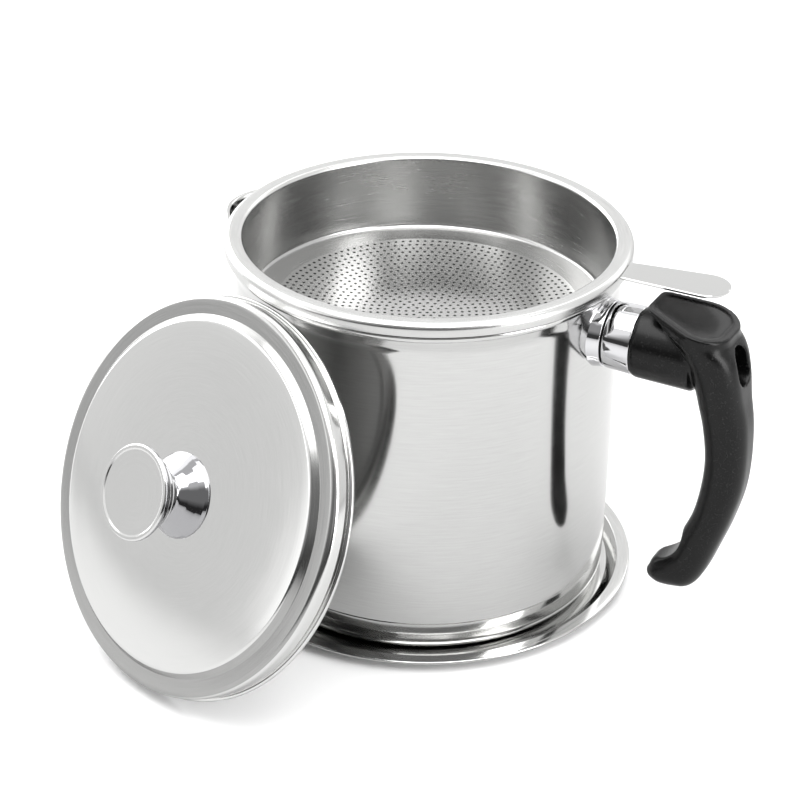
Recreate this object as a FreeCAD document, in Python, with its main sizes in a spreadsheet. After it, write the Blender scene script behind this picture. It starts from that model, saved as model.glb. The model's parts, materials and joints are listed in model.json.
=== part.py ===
import FreeCAD, Part

import math
import os

import Sketcher

# Driving dimensions in millimetres and degrees, one sheet cell each
SIZES = {
    # Drip tray
    "tray_floor_radius": 72.3,
    "tray_wall_top_radius": 76.3,
    "tray_radius": 80.5,
    "tray_height": 4.3,
    "tray_sheet": 0.6,
    "tray_edge_width": 1.0,
    "tray_edge_height": 1.1,
    "tray_edge_round": 0.4,
    "tray_bend_inset": 0.48,
    # Pot
    "stand_gap": 0.3,
    "pot_radius": 70.0,
    "pot_sheet": 0.8,
    "pot_corner": 10.0,
    "pot_flare_start": 124.5,
    "pot_flare": 1.4,
    "pot_wall_top": 129.4,
    "pot_rim_radius": 72.5,
    "pot_rim_top": 131.5,
    "pot_rim_round": 0.8,
    "lip_centre": 61.0,
    "lip_tip_radius": 21.6,
    "lip_spread": 71.6,
    "lip_foot_height": 106.0,
    "lip_foot_radius": 8.8,
    "lip_foot_spread": 69.6,
    "lip_bead": 1.0,
    # Strainer
    "strainer_sheet": 0.7,
    "strainer_rim_radius": 74.1,
    "strainer_rim_top": 136.9,
    "strainer_skirt_bottom": 132.2,
    "strainer_mouth_radius": 67.3,
    "strainer_wall_foot_radius": 66.4,
    "strainer_shoulder_height": 108.0,
    "strainer_field_radius": 56.5,
    "strainer_field_height": 107.4,
    "strainer_dish_depth": 3.4,
    "strainer_outer_round": 2.4,
    "strainer_mouth_round": 1.2,
    "strainer_foot_round": 2.2,
    "hole_radius": 0.8,
    "hole_ring_pitch": 9.0,
    "hole_ring_step": 6.0,
    # Lifting tab of the strainer
    "tab_azimuth": 6.0,
    "tab_reach": 112.0,
    "tab_root_width": 13.0,
    "tab_end_width": 17.5,
    "tab_sheet": 1.2,
    "tab_overlap": 2.4,
    "tab_top": 136.4,
    "weld_gap": 0.03,
    # Handle fittings, along the handle's own level axis
    "handle_height": 114.5,
    "boss_base_radius": 15.0,
    "boss_neck_radius": 12.0,
    "boss_start": 66.0,
    "boss_collar_end": 70.8,
    "boss_cove_end": 72.2,
    "boss_cove_radius": 12.8,
    "boss_end": 73.4,
    "thread_radius": 2.52,
    "thread_depth": 4.4,
    "insulator_radius": 11.0,
    "insulator_end": 74.0,
    "ferrule_back_radius": 12.1,
    "ferrule_front_radius": 12.5,
    "ferrule_bore": 10.6,
    "ferrule_end": 84.6,
    "ferrule_round": 0.6,
    "ferrule_flange": 1.2,
    "spigot_radius": 10.5,
    "neck_radius": 12.9,
    "neck_end": 107.0,
    "neck_round": 1.2,
    "bolt_bore": 2.9,
    "bolt_radius": 2.5,
    "bolt_tip": 70.3,
    "bolt_seat": 112.0,
    "bolt_head_radius": 4.3,
    "bolt_head_length": 3.2,
    "bolt_socket_radius": 2.0,
    "bolt_socket_depth": 1.8,
    "washer_radius": 4.6,
    "washer_sheet": 0.8,
    "washer_hole": 2.6,
    "well_width": 10.0,
    "well_height": 14.0,
    # Thumb pad on top of the grip
    "pad_centre": 103.2,
    "pad_top": 129.3,
    "pad_tilt": 11.4,
    "pad_length": 31.0,
    "pad_width": 29.6,
    "pad_corner": 11.0,
    "pad_near_width": 19.0,
    "pad_near_corner": 5.0,
    "pad_edge": 1.6,
    "pad_rim": 2.4,
    "pad_dish": 0.6,
    "pad_under_reach": 106.4,
    "pad_under_height": 124.0,
    "pad_under_length": 25.6,
    "pad_under_width": 28.6,
    "pad_under_corner": 11.4,
    # Lid, in its own frame: radius from its axis and rise from the bead
    "lid_azimuth": -110.7,
    "lid_facing": -109.7,
    "lid_lean": 24.6,
    "lid_reach": 102.9,
    "lid_rise": 65.0,
    "lid_sheet": 0.7,
    "lid_bead_radius": 71.3,
    "lid_bead_height": 1.8,
    "lid_bead_width": 1.6,
    "lid_bead_round": 0.55,
    "lid_bead_neck": 0.35,
    "lid_bead_neck_top": 1.8,
    "lid_skirt_foot": 2.7,
    "lid_skirt_wall": 0.98,
    "lid_skirt_radius": 70.4,
    "lid_flange_height": 8.0,
    "lid_flange_inner": 63.5,
    "lid_shoulder_radius": 60.6,
    "lid_shoulder_height": 10.2,
    "lid_crown_radius": 30.0,
    "lid_crown_height": 11.1,
    "lid_top": 11.4,
    "lid_top_radius": 15.5,
    "lid_round": 2.2,
    "lid_screw_hole": 2.6,
    # Knob
    "knob_base_height": 11.0,
    "knob_foot_round": 0.4,
    "knob_thread": 2.02,
    "knob_screw_radius": 2.0,
    "knob_screw_reach": 17.0,
    "knob_blind_reach": 18.0,
    "knob_screw_head": 4.2,
    "knob_screw_face": 2.9,
    "knob_screw_chamfer": 0.8,
    "knob_screw_head_height": 2.4,
    "knob_washer_radius": 6.0,
    "knob_washer_sheet": 0.8,
}

# Stations of the grip from its hooked tip to its head: reach from the pot's
# axis, height, lean of the section, depth and width of the section
GRIP = [
    ("tip", 95.9, 23.0, -68.0, 5.6, 8.4, 2.6),
    ("hook", 98.4, 24.8, -66.0, 10.4, 13.0, 4.6),
    ("heel", 103.2, 26.9, -62.0, 14.2, 15.2, 6.0),
    ("bend", 106.7, 28.7, -53.0, 15.6, 15.8, 6.0),
    ("curl", 109.8, 32.8, -42.0, 15.0, 16.0, 6.2),
    ("low", 113.6, 43.0, -22.0, 14.2, 16.2, 6.2),
    ("waist", 117.2, 53.4, -9.0, 14.0, 16.4, 6.2),
    ("palm", 119.8, 66.0, -3.0, 15.0, 16.8, 6.4),
    ("middle", 120.4, 78.0, 1.0, 15.4, 17.4, 6.6),
    ("upper", 119.2, 90.5, 6.0, 16.4, 18.8, 7.0),
    ("throat", 117.2, 100.0, 11.0, 16.4, 21.6, 7.4),
    ("shoulder", 115.4, 108.0, 12.0, 16.6, 24.6, 7.8),
    ("head", 112.6, 116.0, 8.0, 18.6, 27.2, 8.6),
]
for station, reach, height, lean, depth, width, corner in GRIP:
    SIZES["grip_" + station + "_reach"] = reach
    SIZES["grip_" + station + "_height"] = height
    SIZES["grip_" + station + "_lean"] = lean
    SIZES["grip_" + station + "_depth"] = depth
    SIZES["grip_" + station + "_width"] = width
    SIZES["grip_" + station + "_corner"] = corner

# Finger scallops on the grip's inner side: reach, height and radius
SCALLOPS = [
    ("first", 95.9, 61.0, 15.0),
    ("second", 94.6, 43.6, 13.0),
]
for scallop, reach, height, radius in SCALLOPS:
    SIZES["scallop_" + scallop + "_reach"] = reach
    SIZES["scallop_" + scallop + "_height"] = height
    SIZES["scallop_" + scallop + "_radius"] = radius

# The knob's turned profiles: radius and rise above the lid for the bell, and
# above the bell for the cap
KNOB_BELL = [
    ("foot", 15.2, 0.0),
    ("lip", 15.2, 0.9),
    ("step", 14.4, 1.9),
    ("shoulder", 12.6, 3.3),
    ("sweep", 9.8, 5.2),
    ("neck", 7.4, 7.4),
    ("waist", 6.8, 8.8),
    ("bead", 8.4, 9.3),
    ("bead_top", 8.4, 10.2),
    ("seat", 7.6, 11.0),
]
KNOB_CAP = [
    ("collar", 9.8, 0.0),
    ("collar_top", 10.0, 1.2),
    ("under", 12.4, 3.4),
    ("ring", 13.4, 4.8),
    ("ring_top", 13.4, 5.8),
    ("dish", 15.2, 7.6),
    ("throat", 15.6, 9.2),
    ("rim", 16.7, 9.6),
    ("rim_top", 16.7, 10.6),
    ("lip", 16.1, 11.2),
    ("lip_inner", 15.2, 11.2),
    ("face", 14.6, 10.9),
]
for owner, profile in (("bell_", KNOB_BELL), ("cap_", KNOB_CAP)):
    for place, radius, rise in profile:
        SIZES[owner + place + "_radius"] = radius
        SIZES[owner + place + "_rise"] = rise

FULL_TURN = 360.0
HALF = 0.5
QUARTER = 0.25
HOLE_RINGS = 6
NUDGE = 0.01
CUT_LENGTH = 400.0

doc = FreeCAD.newDocument("grease_container")
sheet = doc.addObject("Spreadsheet::Sheet", "sizes")
for row, (alias, number) in enumerate(SIZES.items(), start=1):
    sheet.set("A" + str(row), alias)
    sheet.set("B" + str(row), str(number))
    sheet.setAlias("B" + str(row), alias)
doc.recompute()


class Size:
    """A length of the part: its expression on the sheet and its value now."""

    def __init__(self, text, value):
        self.text = text
        self.value = value

    def __add__(self, other):
        other = as_size(other)
        return Size("(" + self.text + " + " + other.text + ")", self.value + other.value)

    def __sub__(self, other):
        other = as_size(other)
        return Size("(" + self.text + " - " + other.text + ")", self.value - other.value)

    def __mul__(self, other):
        other = as_size(other)
        return Size("(" + self.text + " * " + other.text + ")", self.value * other.value)

    def __truediv__(self, other):
        other = as_size(other)
        return Size("(" + self.text + " / " + other.text + ")", self.value / other.value)

    def __neg__(self):
        return self * -1.0

    def root(self):
        """Its square root."""
        return Size("sqrt(" + self.text + ")", math.sqrt(self.value))


def as_size(value):
    """A plain number as a Size."""
    if isinstance(value, Size):
        return value
    return Size("(" + str(value) + ")", float(value))


def size(alias):
    """The sheet's cell of this alias."""
    return Size("sizes." + alias, float(sheet.get(alias)))


ZERO = as_size(0.0)


def new_body(label):
    """An empty body named after its sub-part."""
    body = doc.addObject("PartDesign::Body", label)
    body.Label = label
    return body


def new_sketch(body, name, role, offset=None):
    """A sketch on one of the body's own origin planes, shifted if asked."""
    sketch = body.newObject("Sketcher::SketchObject", name)
    plane = [item for item in body.Origin.OriginFeatures if item.Role == role][0]
    sketch.AttachmentSupport = [(plane, "")]
    sketch.MapMode = "FlatFace"
    if offset is not None:
        sketch.AttachmentOffset = offset
    return sketch


def fix_point(sketch, curve, end, place):
    """Hold one end of a curve at a place given by two sizes."""
    across, along = place
    if across.value == 0.0:
        sketch.addConstraint(Sketcher.Constraint("PointOnObject", curve, end, -2))
    else:
        index = sketch.addConstraint(
            Sketcher.Constraint("DistanceX", -1, 1, curve, end, across.value)
        )
        sketch.setExpression("Constraints[" + str(index) + "]", across.text)
    if along.value == 0.0:
        sketch.addConstraint(Sketcher.Constraint("PointOnObject", curve, end, -1))
    else:
        index = sketch.addConstraint(
            Sketcher.Constraint("DistanceY", -1, 1, curve, end, along.value)
        )
        sketch.setExpression("Constraints[" + str(index) + "]", along.text)


def outline(sketch, places):
    """A closed outline of straight lines through the places."""
    points = [FreeCAD.Vector(across.value, along.value, 0) for across, along in places]
    count = len(points)
    for index in range(count):
        sketch.addGeometry(Part.LineSegment(points[index], points[(index + 1) % count]))
    for index in range(count):
        following = (index + 1) % count
        sketch.addConstraint(Sketcher.Constraint("Coincident", index, 2, following, 1))
        fix_point(sketch, index, 1, places[index])


def fixed_circle(sketch, place, radius):
    """A circle held at a place with its radius from the sheet."""
    across, along = place
    centre = FreeCAD.Vector(across.value, along.value, 0)
    curve = sketch.addGeometry(Part.Circle(centre, FreeCAD.Vector(0, 0, 1), radius.value))
    fix_point(sketch, curve, 3, place)
    index = sketch.addConstraint(Sketcher.Constraint("Radius", curve, radius.value))
    sketch.setExpression("Constraints[" + str(index) + "]", radius.text)


def hull(sketch, discs):
    """The closed outline round four discs, each given by its centre's places and its radius."""
    count = len(discs)
    turns = []
    for index, (across, along, radius) in enumerate(discs):
        next_across, next_along, next_radius = discs[(index + 1) % count]
        run = next_across.value - across.value
        rise = next_along.value - along.value
        slope = (radius.value - next_radius.value) / math.hypot(run, rise)
        turns.append(math.atan2(rise, run) - math.acos(slope))
    for index, (across, along, radius) in enumerate(discs):
        centre = FreeCAD.Vector(across.value, along.value, 0)
        circle = Part.Circle(centre, FreeCAD.Vector(0, 0, 1), radius.value)
        first = turns[index - 1]
        last = turns[index]
        while last < first:
            last += math.radians(FULL_TURN)
        sketch.addGeometry(Part.ArcOfCircle(circle, first, last))
    for index in range(count):
        following = (index + 1) % count
        ends = []
        for across, along, radius in (discs[index], discs[following]):
            x = across.value + radius.value * math.cos(turns[index])
            y = along.value + radius.value * math.sin(turns[index])
            ends.append(FreeCAD.Vector(x, y, 0))
        sketch.addGeometry(Part.LineSegment(ends[0], ends[1]))
    for index, (across, along, radius) in enumerate(discs):
        line = count + index
        sketch.addConstraint(Sketcher.Constraint("Tangent", index, 2, line, 1))
        sketch.addConstraint(Sketcher.Constraint("Tangent", line, 2, (index + 1) % count, 1))
        fix_point(sketch, index, 3, (across, along))
        held = sketch.addConstraint(Sketcher.Constraint("Radius", index, radius.value))
        sketch.setExpression("Constraints[" + str(held) + "]", radius.text)


def rounded_section(sketch, depth, width, corner):
    """A rectangle with rounded corners about the sketch's origin."""
    tapered_section(sketch, depth, width, corner, width, corner)


def tapered_section(sketch, depth, width, corner, near_width, near_corner):
    """A rounded outline about the origin with a narrower end towards the pot."""
    outward = depth * HALF - corner
    aside = width * HALF - corner
    inward = near_corner - depth * HALF
    near_aside = near_width * HALF - near_corner
    hull(
        sketch,
        [
            (outward, aside, corner),
            (inward, near_aside, near_corner),
            (inward, -near_aside, near_corner),
            (outward, -aside, corner),
        ],
    )


def revolve(body, name, places, axis="V_Axis"):
    """Turn a closed outline in the upright plane a full turn about an axis."""
    sketch = new_sketch(body, name + "_outline", "XZ_Plane")
    outline(sketch, places)
    turned = body.newObject("PartDesign::Revolution", name)
    turned.Profile = sketch
    turned.ReferenceAxis = (sketch, [axis])
    turned.Angle = FULL_TURN
    doc.recompute()
    return turned


def ring_edges(shape, wanted, lengthwise=2):
    """Names of the circular edges of these radii and places on their axis."""
    names = []
    for index, edge in enumerate(shape.Edges, start=1):
        if not isinstance(edge.Curve, Part.Circle):
            continue
        for radius, place in wanted:
            near = abs(edge.Curve.Radius - radius.value) < NUDGE
            level = abs(edge.Curve.Center[lengthwise] - place.value) < NUDGE
            if near and level:
                names.append("Edge" + str(index))
    return names


def round_rings(body, name, radius, wanted, lengthwise=2):
    """Round the circular edges listed in wanted."""
    base = body.Tip
    names = ring_edges(base.Shape, wanted, lengthwise)
    if len(names) != len(wanted):
        raise ValueError(name + ": " + str(len(names)) + " edges of " + str(len(wanted)))
    fillet = body.newObject("PartDesign::Fillet", name)
    fillet.Base = (base, names)
    fillet.Radius = radius.value
    fillet.setExpression("Radius", radius.text)
    doc.recompute()
    return fillet


def pocket(body, name, sketch, forward):
    """Cut a sketch right through one way and make sure that it removed something."""
    before = body.Tip.Shape.Volume
    cut = body.newObject("PartDesign::Pocket", name)
    cut.Profile = sketch
    cut.Type = "Length"
    cut.Length = CUT_LENGTH
    cut.Reversed = not forward
    doc.recompute()
    if cut.Shape.Volume > before - NUDGE:
        raise ValueError(name + " cuts nothing")
    return cut


def cylinder(name, radius, low, height, across=ZERO):
    """An upright cylinder whose axis is this far along X."""
    item = doc.addObject("Part::Cylinder", name)
    item.setExpression("Radius", radius.text)
    item.setExpression("Height", height.text)
    item.setExpression("Placement.Base.x", across.text)
    item.setExpression("Placement.Base.z", low.text)
    return item


def boolean(kind, name, base, tool):
    """A cut, fuse or common of two objects."""
    item = doc.addObject("Part::" + kind, name)
    item.Base = base
    item.Tool = tool
    return item


def lid_place():
    """Where the leaning lid's own frame stands beside the pot."""
    azimuth = size("lid_azimuth").value
    reach = size("lid_reach").value
    place = FreeCAD.Vector(
        reach * math.cos(math.radians(azimuth)),
        reach * math.sin(math.radians(azimuth)),
        size("lid_rise").value,
    )
    turn = FreeCAD.Rotation(size("lid_facing").value, 90.0 - size("lid_lean").value, 0.0)
    return FreeCAD.Placement(place, turn)


def handle_place(body):
    """Put a body's own origin on the handle's level axis."""
    body.setExpression("Placement.Base.z", size("handle_height").text)


# Drip tray: flat floor, steep wall and a flat flange with a rolled edge
def make_tray():
    sheet_height = size("tray_sheet")
    floor = size("tray_floor_radius")
    wall = size("tray_wall_top_radius")
    edge = size("tray_radius")
    top = size("tray_height")
    edge_inner = edge - size("tray_edge_width")
    edge_low = top - size("tray_edge_height")
    body = new_body("tray")
    revolve(
        body,
        "tray_dish",
        [
            (ZERO, ZERO),
            (floor, ZERO),
            (wall, top - sheet_height),
            (edge_inner, top - sheet_height),
            (edge_inner, edge_low),
            (edge, edge_low),
            (edge, top),
            (wall - size("tray_bend_inset"), top),
            (floor - size("tray_bend_inset"), sheet_height),
            (ZERO, sheet_height),
        ],
    )
    rim = [(edge, top), (edge, edge_low)]
    round_rings(body, "tray_rolled_edge", size("tray_edge_round"), rim)
    bends = [(wall - size("tray_bend_inset"), top), (floor, ZERO)]
    round_rings(body, "tray_bends", size("tray_edge_round"), bends)
    return body


# Pot: deep drawn cup with a big bottom corner, rolled rim and pouring lip
def pot_base():
    return size("tray_sheet") + size("stand_gap")


def make_pot_wall():
    radius = size("pot_radius")
    inner = radius - size("pot_sheet")
    flare = size("pot_flare")
    flare_start = size("pot_flare_start")
    bottom = pot_base()
    floor = bottom + size("pot_sheet")
    wall_top = size("pot_wall_top")
    rim = size("pot_rim_radius")
    top = size("pot_rim_top")
    body = new_body("pot_cup")
    revolve(
        body,
        "pot_cup_wall",
        [
            (ZERO, bottom),
            (radius, bottom),
            (radius, flare_start),
            (radius + flare, wall_top),
            (rim, wall_top),
            (rim, top),
            (inner + flare, top),
            (inner, flare_start),
            (inner, floor),
            (ZERO, floor),
        ],
    )
    round_rings(body, "pot_outer_corner", size("pot_corner"), [(radius, bottom)])
    inner_corner = size("pot_corner") - size("pot_sheet")
    round_rings(body, "pot_inner_corner", inner_corner, [(inner, floor)])
    round_rings(body, "pot_rolled_rim", size("pot_rim_round"), [(rim, top), (rim, wall_top)])
    return body


def lip_section(body, name, height, tip, spread):
    """One level section of the pouring lip: a rounded tip with sides that meet the wall."""
    centre = size("lip_centre")
    cosine = (spread - tip) / centre
    sine = (as_size(1.0) - cosine * cosine).root()
    offset = FreeCAD.Placement(FreeCAD.Vector(0, 0, height.value), FreeCAD.Rotation())
    sketch = new_sketch(body, name, "XY_Plane", offset)
    sketch.setExpression("AttachmentOffset.Base.z", height.text)
    side = (-(spread * cosine), spread * sine)
    start = (-(centre + tip * cosine), tip * sine)
    far_side = (side[0], -side[1])
    finish = (start[0], -start[1])
    for first, last in ((side, start), (finish, far_side), (far_side, side)):
        sketch.addGeometry(
            Part.LineSegment(
                FreeCAD.Vector(first[0].value, first[1].value, 0),
                FreeCAD.Vector(last[0].value, last[1].value, 0),
            )
        )
    half = math.acos(cosine.value)
    circle = Part.Circle(FreeCAD.Vector(-centre.value, 0, 0), FreeCAD.Vector(0, 0, 1), tip.value)
    sketch.addGeometry(Part.ArcOfCircle(circle, math.pi - half, math.pi + half))
    fix_point(sketch, 0, 1, side)
    fix_point(sketch, 0, 2, start)
    fix_point(sketch, 1, 1, finish)
    fix_point(sketch, 1, 2, far_side)
    sketch.addConstraint(Sketcher.Constraint("Coincident", 2, 1, 1, 2))
    sketch.addConstraint(Sketcher.Constraint("Coincident", 2, 2, 0, 1))
    sketch.addConstraint(Sketcher.Constraint("Coincident", 3, 1, 0, 2))
    sketch.addConstraint(Sketcher.Constraint("Coincident", 3, 2, 1, 1))
    index = sketch.addConstraint(Sketcher.Constraint("Radius", 3, tip.value))
    sketch.setExpression("Constraints[" + str(index) + "]", tip.text)
    return sketch


def make_lip(name, margin):
    """The pouring lip's swelling, drawn in by a margin."""
    body = new_body(name)
    foot = lip_section(
        body,
        name + "_foot",
        size("lip_foot_height") + margin,
        size("lip_foot_radius") - margin,
        size("lip_foot_spread") - margin,
    )
    top = lip_section(
        body,
        name + "_top",
        size("pot_rim_top"),
        size("lip_tip_radius") - margin,
        size("lip_spread") - margin,
    )
    doc.recompute()
    loft(body, name + "_form", [foot, top])
    return body


def make_lip_bead():
    """The rolled rim where it runs round the pouring lip."""
    bead = size("lip_bead")
    low = size("pot_wall_top")
    body = new_body("lip_bead_body")
    tip = size("lip_tip_radius") + bead * HALF
    sketch = lip_section(body, "lip_bead_plan", low, tip, size("lip_spread") + bead * HALF)
    pad = body.newObject("PartDesign::Pad", "lip_bead_roll")
    pad.Profile = sketch
    pad.setExpression("Length", (size("pot_rim_top") - low).text)
    doc.recompute()
    return body


def make_pot_shell():
    top = size("pot_rim_top")
    inner = size("pot_radius") - size("pot_sheet")
    outer = doc.addObject("Part::MultiFuse", "pot_outside")
    outer.Shapes = [make_pot_wall(), make_lip_bead(), make_lip("lip_outside", ZERO)]
    hollow_low = size("pot_corner") + pot_base()
    hollow = cylinder("pot_hollow", inner, hollow_low, top)
    mouth = doc.addObject("Part::Cone", "pot_mouth")
    mouth.setExpression("Radius1", inner.text)
    mouth.setExpression("Radius2", (inner + size("pot_flare")).text)
    mouth.setExpression("Height", (top - size("pot_flare_start")).text)
    mouth.setExpression("Placement.Base.z", size("pot_flare_start").text)
    void = doc.addObject("Part::MultiFuse", "pot_inside")
    void.Shapes = [hollow, mouth, make_lip("lip_inside", size("pot_sheet"))]
    shell = boolean("Cut", "pot_shell", outer, void)
    shell.Label = "pot_shell"
    return shell


# Strainer: broad rolled rim, straight wall, shoulder and dished floor of holes
def make_strainer():
    gauge = size("strainer_sheet")
    rim = size("strainer_rim_radius")
    top = size("strainer_rim_top")
    skirt = size("strainer_skirt_bottom")
    mouth = size("strainer_mouth_radius")
    foot = size("strainer_wall_foot_radius")
    shoulder = size("strainer_shoulder_height")
    field = size("strainer_field_radius")
    field_height = size("strainer_field_height")
    centre = field_height - size("strainer_dish_depth")
    middle = field * HALF
    middle_height = centre + size("strainer_dish_depth") * QUARTER
    body = new_body("strainer_basket")
    revolve(
        body,
        "strainer_form",
        [
            (ZERO, centre - gauge),
            (middle, middle_height - gauge),
            (field, field_height - gauge),
            (foot + gauge, shoulder - gauge),
            (mouth + gauge, top - gauge),
            (rim - gauge, top - gauge),
            (rim - gauge, skirt),
            (rim, skirt),
            (rim, top),
            (mouth, top),
            (foot, shoulder),
            (field, field_height),
            (middle, middle_height),
            (ZERO, centre),
        ],
    )
    round_rings(body, "strainer_rim_round", size("strainer_outer_round"), [(rim, top)])
    inside = size("strainer_outer_round") - gauge
    round_rings(body, "strainer_rim_inside", inside, [(rim - gauge, top - gauge)])
    round_rings(body, "strainer_mouth", size("strainer_mouth_round"), [(mouth, top)])
    round_rings(body, "strainer_foot", size("strainer_foot_round"), [(foot, shoulder)])
    outer_foot = size("strainer_foot_round") + gauge
    round_rings(body, "strainer_outer_foot", outer_foot, [(foot + gauge, shoulder - gauge)])
    for ring in range(1, HOLE_RINGS + 1):
        drill_ring(body, ring)
    return body


def drill_ring(body, ring):
    """One ring of drain holes, six more than the ring inside it."""
    name = "holes_" + str(ring)
    reach = size("hole_ring_pitch") * float(ring)
    offset = FreeCAD.Placement(
        FreeCAD.Vector(0, 0, size("strainer_shoulder_height").value), FreeCAD.Rotation()
    )
    sketch = new_sketch(body, name + "_plan", "XY_Plane", offset)
    fixed_circle(sketch, (reach, ZERO), size("hole_radius"))
    doc.recompute()
    cut = pocket(body, name + "_first", sketch, True)
    around = body.newObject("PartDesign::PolarPattern", name)
    around.Originals = [cut]
    around.Axis = (sketch, ["N_Axis"])
    around.Angle = FULL_TURN
    around.Occurrences = int(size("hole_ring_step").value) * ring
    body.Tip = around
    doc.recompute()


# Flat lifting tab welded to the strainer's rim, rounded at its free end
def make_tab():
    root = size("strainer_rim_radius") + size("weld_gap")
    half_root = size("tab_root_width") * HALF
    half_end = size("tab_end_width") * HALF
    reach = size("tab_reach")
    body = new_body("tab_blank")
    low = size("tab_top") - size("tab_sheet")
    offset = FreeCAD.Placement(FreeCAD.Vector(0, 0, low.value), FreeCAD.Rotation())
    sketch = new_sketch(body, "tab_plan", "XY_Plane", offset)
    inside = root - size("tab_overlap")
    straight = reach - half_end
    outline(
        sketch,
        [
            (inside, -half_root),
            (straight, -half_end),
            (straight, half_end),
            (inside, half_root),
        ],
    )
    pad = body.newObject("PartDesign::Pad", "tab_plate")
    pad.Profile = sketch
    pad.setExpression("Length", size("tab_sheet").text)
    doc.recompute()
    tip_sketch = new_sketch(body, "tab_tip_plan", "XY_Plane", offset)
    fixed_circle(tip_sketch, (straight, ZERO), half_end)
    tip = body.newObject("PartDesign::Pad", "tab_tip")
    tip.Profile = tip_sketch
    tip.setExpression("Length", size("tab_sheet").text)
    doc.recompute()
    body.Placement = FreeCAD.Placement(
        FreeCAD.Vector(0, 0, 0), FreeCAD.Rotation(size("tab_azimuth").value, 0, 0)
    )
    clearance = cylinder("tab_root_curve", root, ZERO, size("strainer_rim_top"))
    tab = boolean("Cut", "strainer_tab", body, clearance)
    tab.Label = "strainer_tab"
    return tab


# Polished boss welded to the pot's wall, flared where it meets the wall
def make_boss():
    base = size("boss_base_radius")
    neck = size("boss_neck_radius")
    end = size("boss_end")
    thread = size("thread_radius")
    blind = end - size("thread_depth")
    start = size("boss_start")
    body = new_body("boss_blank")
    revolve(
        body,
        "boss_turned",
        [
            (start, ZERO),
            (start, base),
            (size("boss_collar_end"), base),
            (size("boss_cove_end"), size("boss_cove_radius")),
            (end, neck),
            (end, thread),
            (blind, thread),
            (blind, ZERO),
        ],
        "H_Axis",
    )
    handle_place(body)
    gap = size("weld_gap")
    wall = size("pot_radius") + gap
    rim = size("pot_rim_radius") + gap
    top = size("strainer_rim_top")
    saddle = new_body("boss_saddle")
    revolve(
        saddle,
        "boss_saddle_form",
        [
            (ZERO, ZERO),
            (wall, ZERO),
            (wall, size("pot_flare_start") - gap),
            (wall + size("pot_flare"), size("pot_wall_top") - gap),
            (rim, size("pot_wall_top") - gap),
            (rim, top),
            (ZERO, top),
        ],
    )
    boss = boolean("Cut", "handle_boss", body, saddle)
    boss.Label = "handle_boss"
    return boss


# Insulating ring and polished ferrule between the boss and the grip
def make_insulator():
    body = new_body("insulator_ring")
    back = size("boss_end") + size("weld_gap")
    front = size("insulator_end")
    hole = size("bolt_bore")
    rim = size("insulator_radius")
    revolve(body, "insulator", [(back, hole), (back, rim), (front, rim), (front, hole)], "H_Axis")
    handle_place(body)
    return body


def make_ferrule():
    body = new_body("ferrule")
    back = size("insulator_end") + size("weld_gap")
    front = size("ferrule_end")
    flange = back + size("ferrule_flange")
    hole = size("bolt_bore")
    bore = size("ferrule_bore")
    outer_back = size("ferrule_back_radius")
    outer_front = size("ferrule_front_radius")
    revolve(
        body,
        "ferrule_turned",
        [
            (back, hole),
            (back, outer_back),
            (front, outer_front),
            (front, bore),
            (flange, bore),
            (flange, hole),
        ],
        "H_Axis",
    )
    ends = [(outer_back, back), (outer_front, front)]
    round_rings(body, "ferrule_lips", size("ferrule_round"), ends, 0)
    handle_place(body)
    return body


# Grip: lofted through its stations, with a round neck and a thumb pad on top
def station_place(reach, height, lean):
    """A section's frame: first axis outward, second across, third up the grip."""
    turn = FreeCAD.Rotation(FreeCAD.Vector(0, 1, 0), lean)
    return FreeCAD.Placement(FreeCAD.Vector(reach, 0, height), turn)


def grip_section(body, station):
    key = "grip_" + station + "_"
    place = station_place(
        size(key + "reach").value, size(key + "height").value, -size(key + "lean").value
    )
    sketch = new_sketch(body, key + "section", "XY_Plane", place)
    rounded_section(sketch, size(key + "depth"), size(key + "width"), size(key + "corner"))
    return sketch


def loft(body, name, sections):
    made = body.newObject("PartDesign::AdditiveLoft", name)
    made.Profile = sections[0]
    made.Sections = sections[1:]
    doc.recompute()
    return made


def neck_places():
    back = size("insulator_end") + size("ferrule_flange") + size("weld_gap") * 2.0
    spigot = size("spigot_radius")
    shoulder = size("ferrule_end") + size("weld_gap")
    neck = size("neck_radius")
    end = size("neck_end")
    return [(back, ZERO), (back, spigot), (shoulder, spigot), (shoulder, neck), (end, neck), (end, ZERO)]


def lifted(places, rise):
    return [(across, along + rise) for across, along in places]


def make_grip():
    body = new_body("handle_grip")
    sections = [grip_section(body, station[0]) for station in GRIP]
    doc.recompute()
    loft(body, "grip_shaft", sections)
    edge = pad_section(body, "pad_edge_section", size("pad_edge"), ZERO)
    under_place = station_place(
        size("pad_under_reach").value, size("pad_under_height").value, size("pad_tilt").value
    )
    under = new_sketch(body, "pad_under_section", "XY_Plane", under_place)
    rounded_section(
        under, size("pad_under_length"), size("pad_under_width"), size("pad_under_corner")
    )
    head = grip_section(body, "head")
    doc.recompute()
    loft(body, "grip_head", [head, under, edge])
    lip = body.newObject("PartDesign::Pad", "pad_lip")
    lip.Profile = edge
    lip.setExpression("Length", size("pad_edge").text)
    doc.recompute()
    neck_round(body)
    dish = pad_section(body, "pad_dish_section", size("pad_dish"), size("pad_rim"))
    doc.recompute()
    pocket(body, "pad_dish", dish, False)
    bore_grip(body)
    scallop_grip(body)
    return body


def neck_round(body):
    """The neck's round barrel, entering the ferrule with a spigot."""
    offset = FreeCAD.Placement(FreeCAD.Vector(0, size("handle_height").value, 0), FreeCAD.Rotation())
    sketch = new_sketch(body, "neck_outline", "XZ_Plane", offset)
    outline(sketch, neck_places())
    turned = body.newObject("PartDesign::Revolution", "grip_neck")
    turned.Profile = sketch
    turned.ReferenceAxis = (sketch, ["H_Axis"])
    turned.Angle = FULL_TURN
    doc.recompute()


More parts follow.
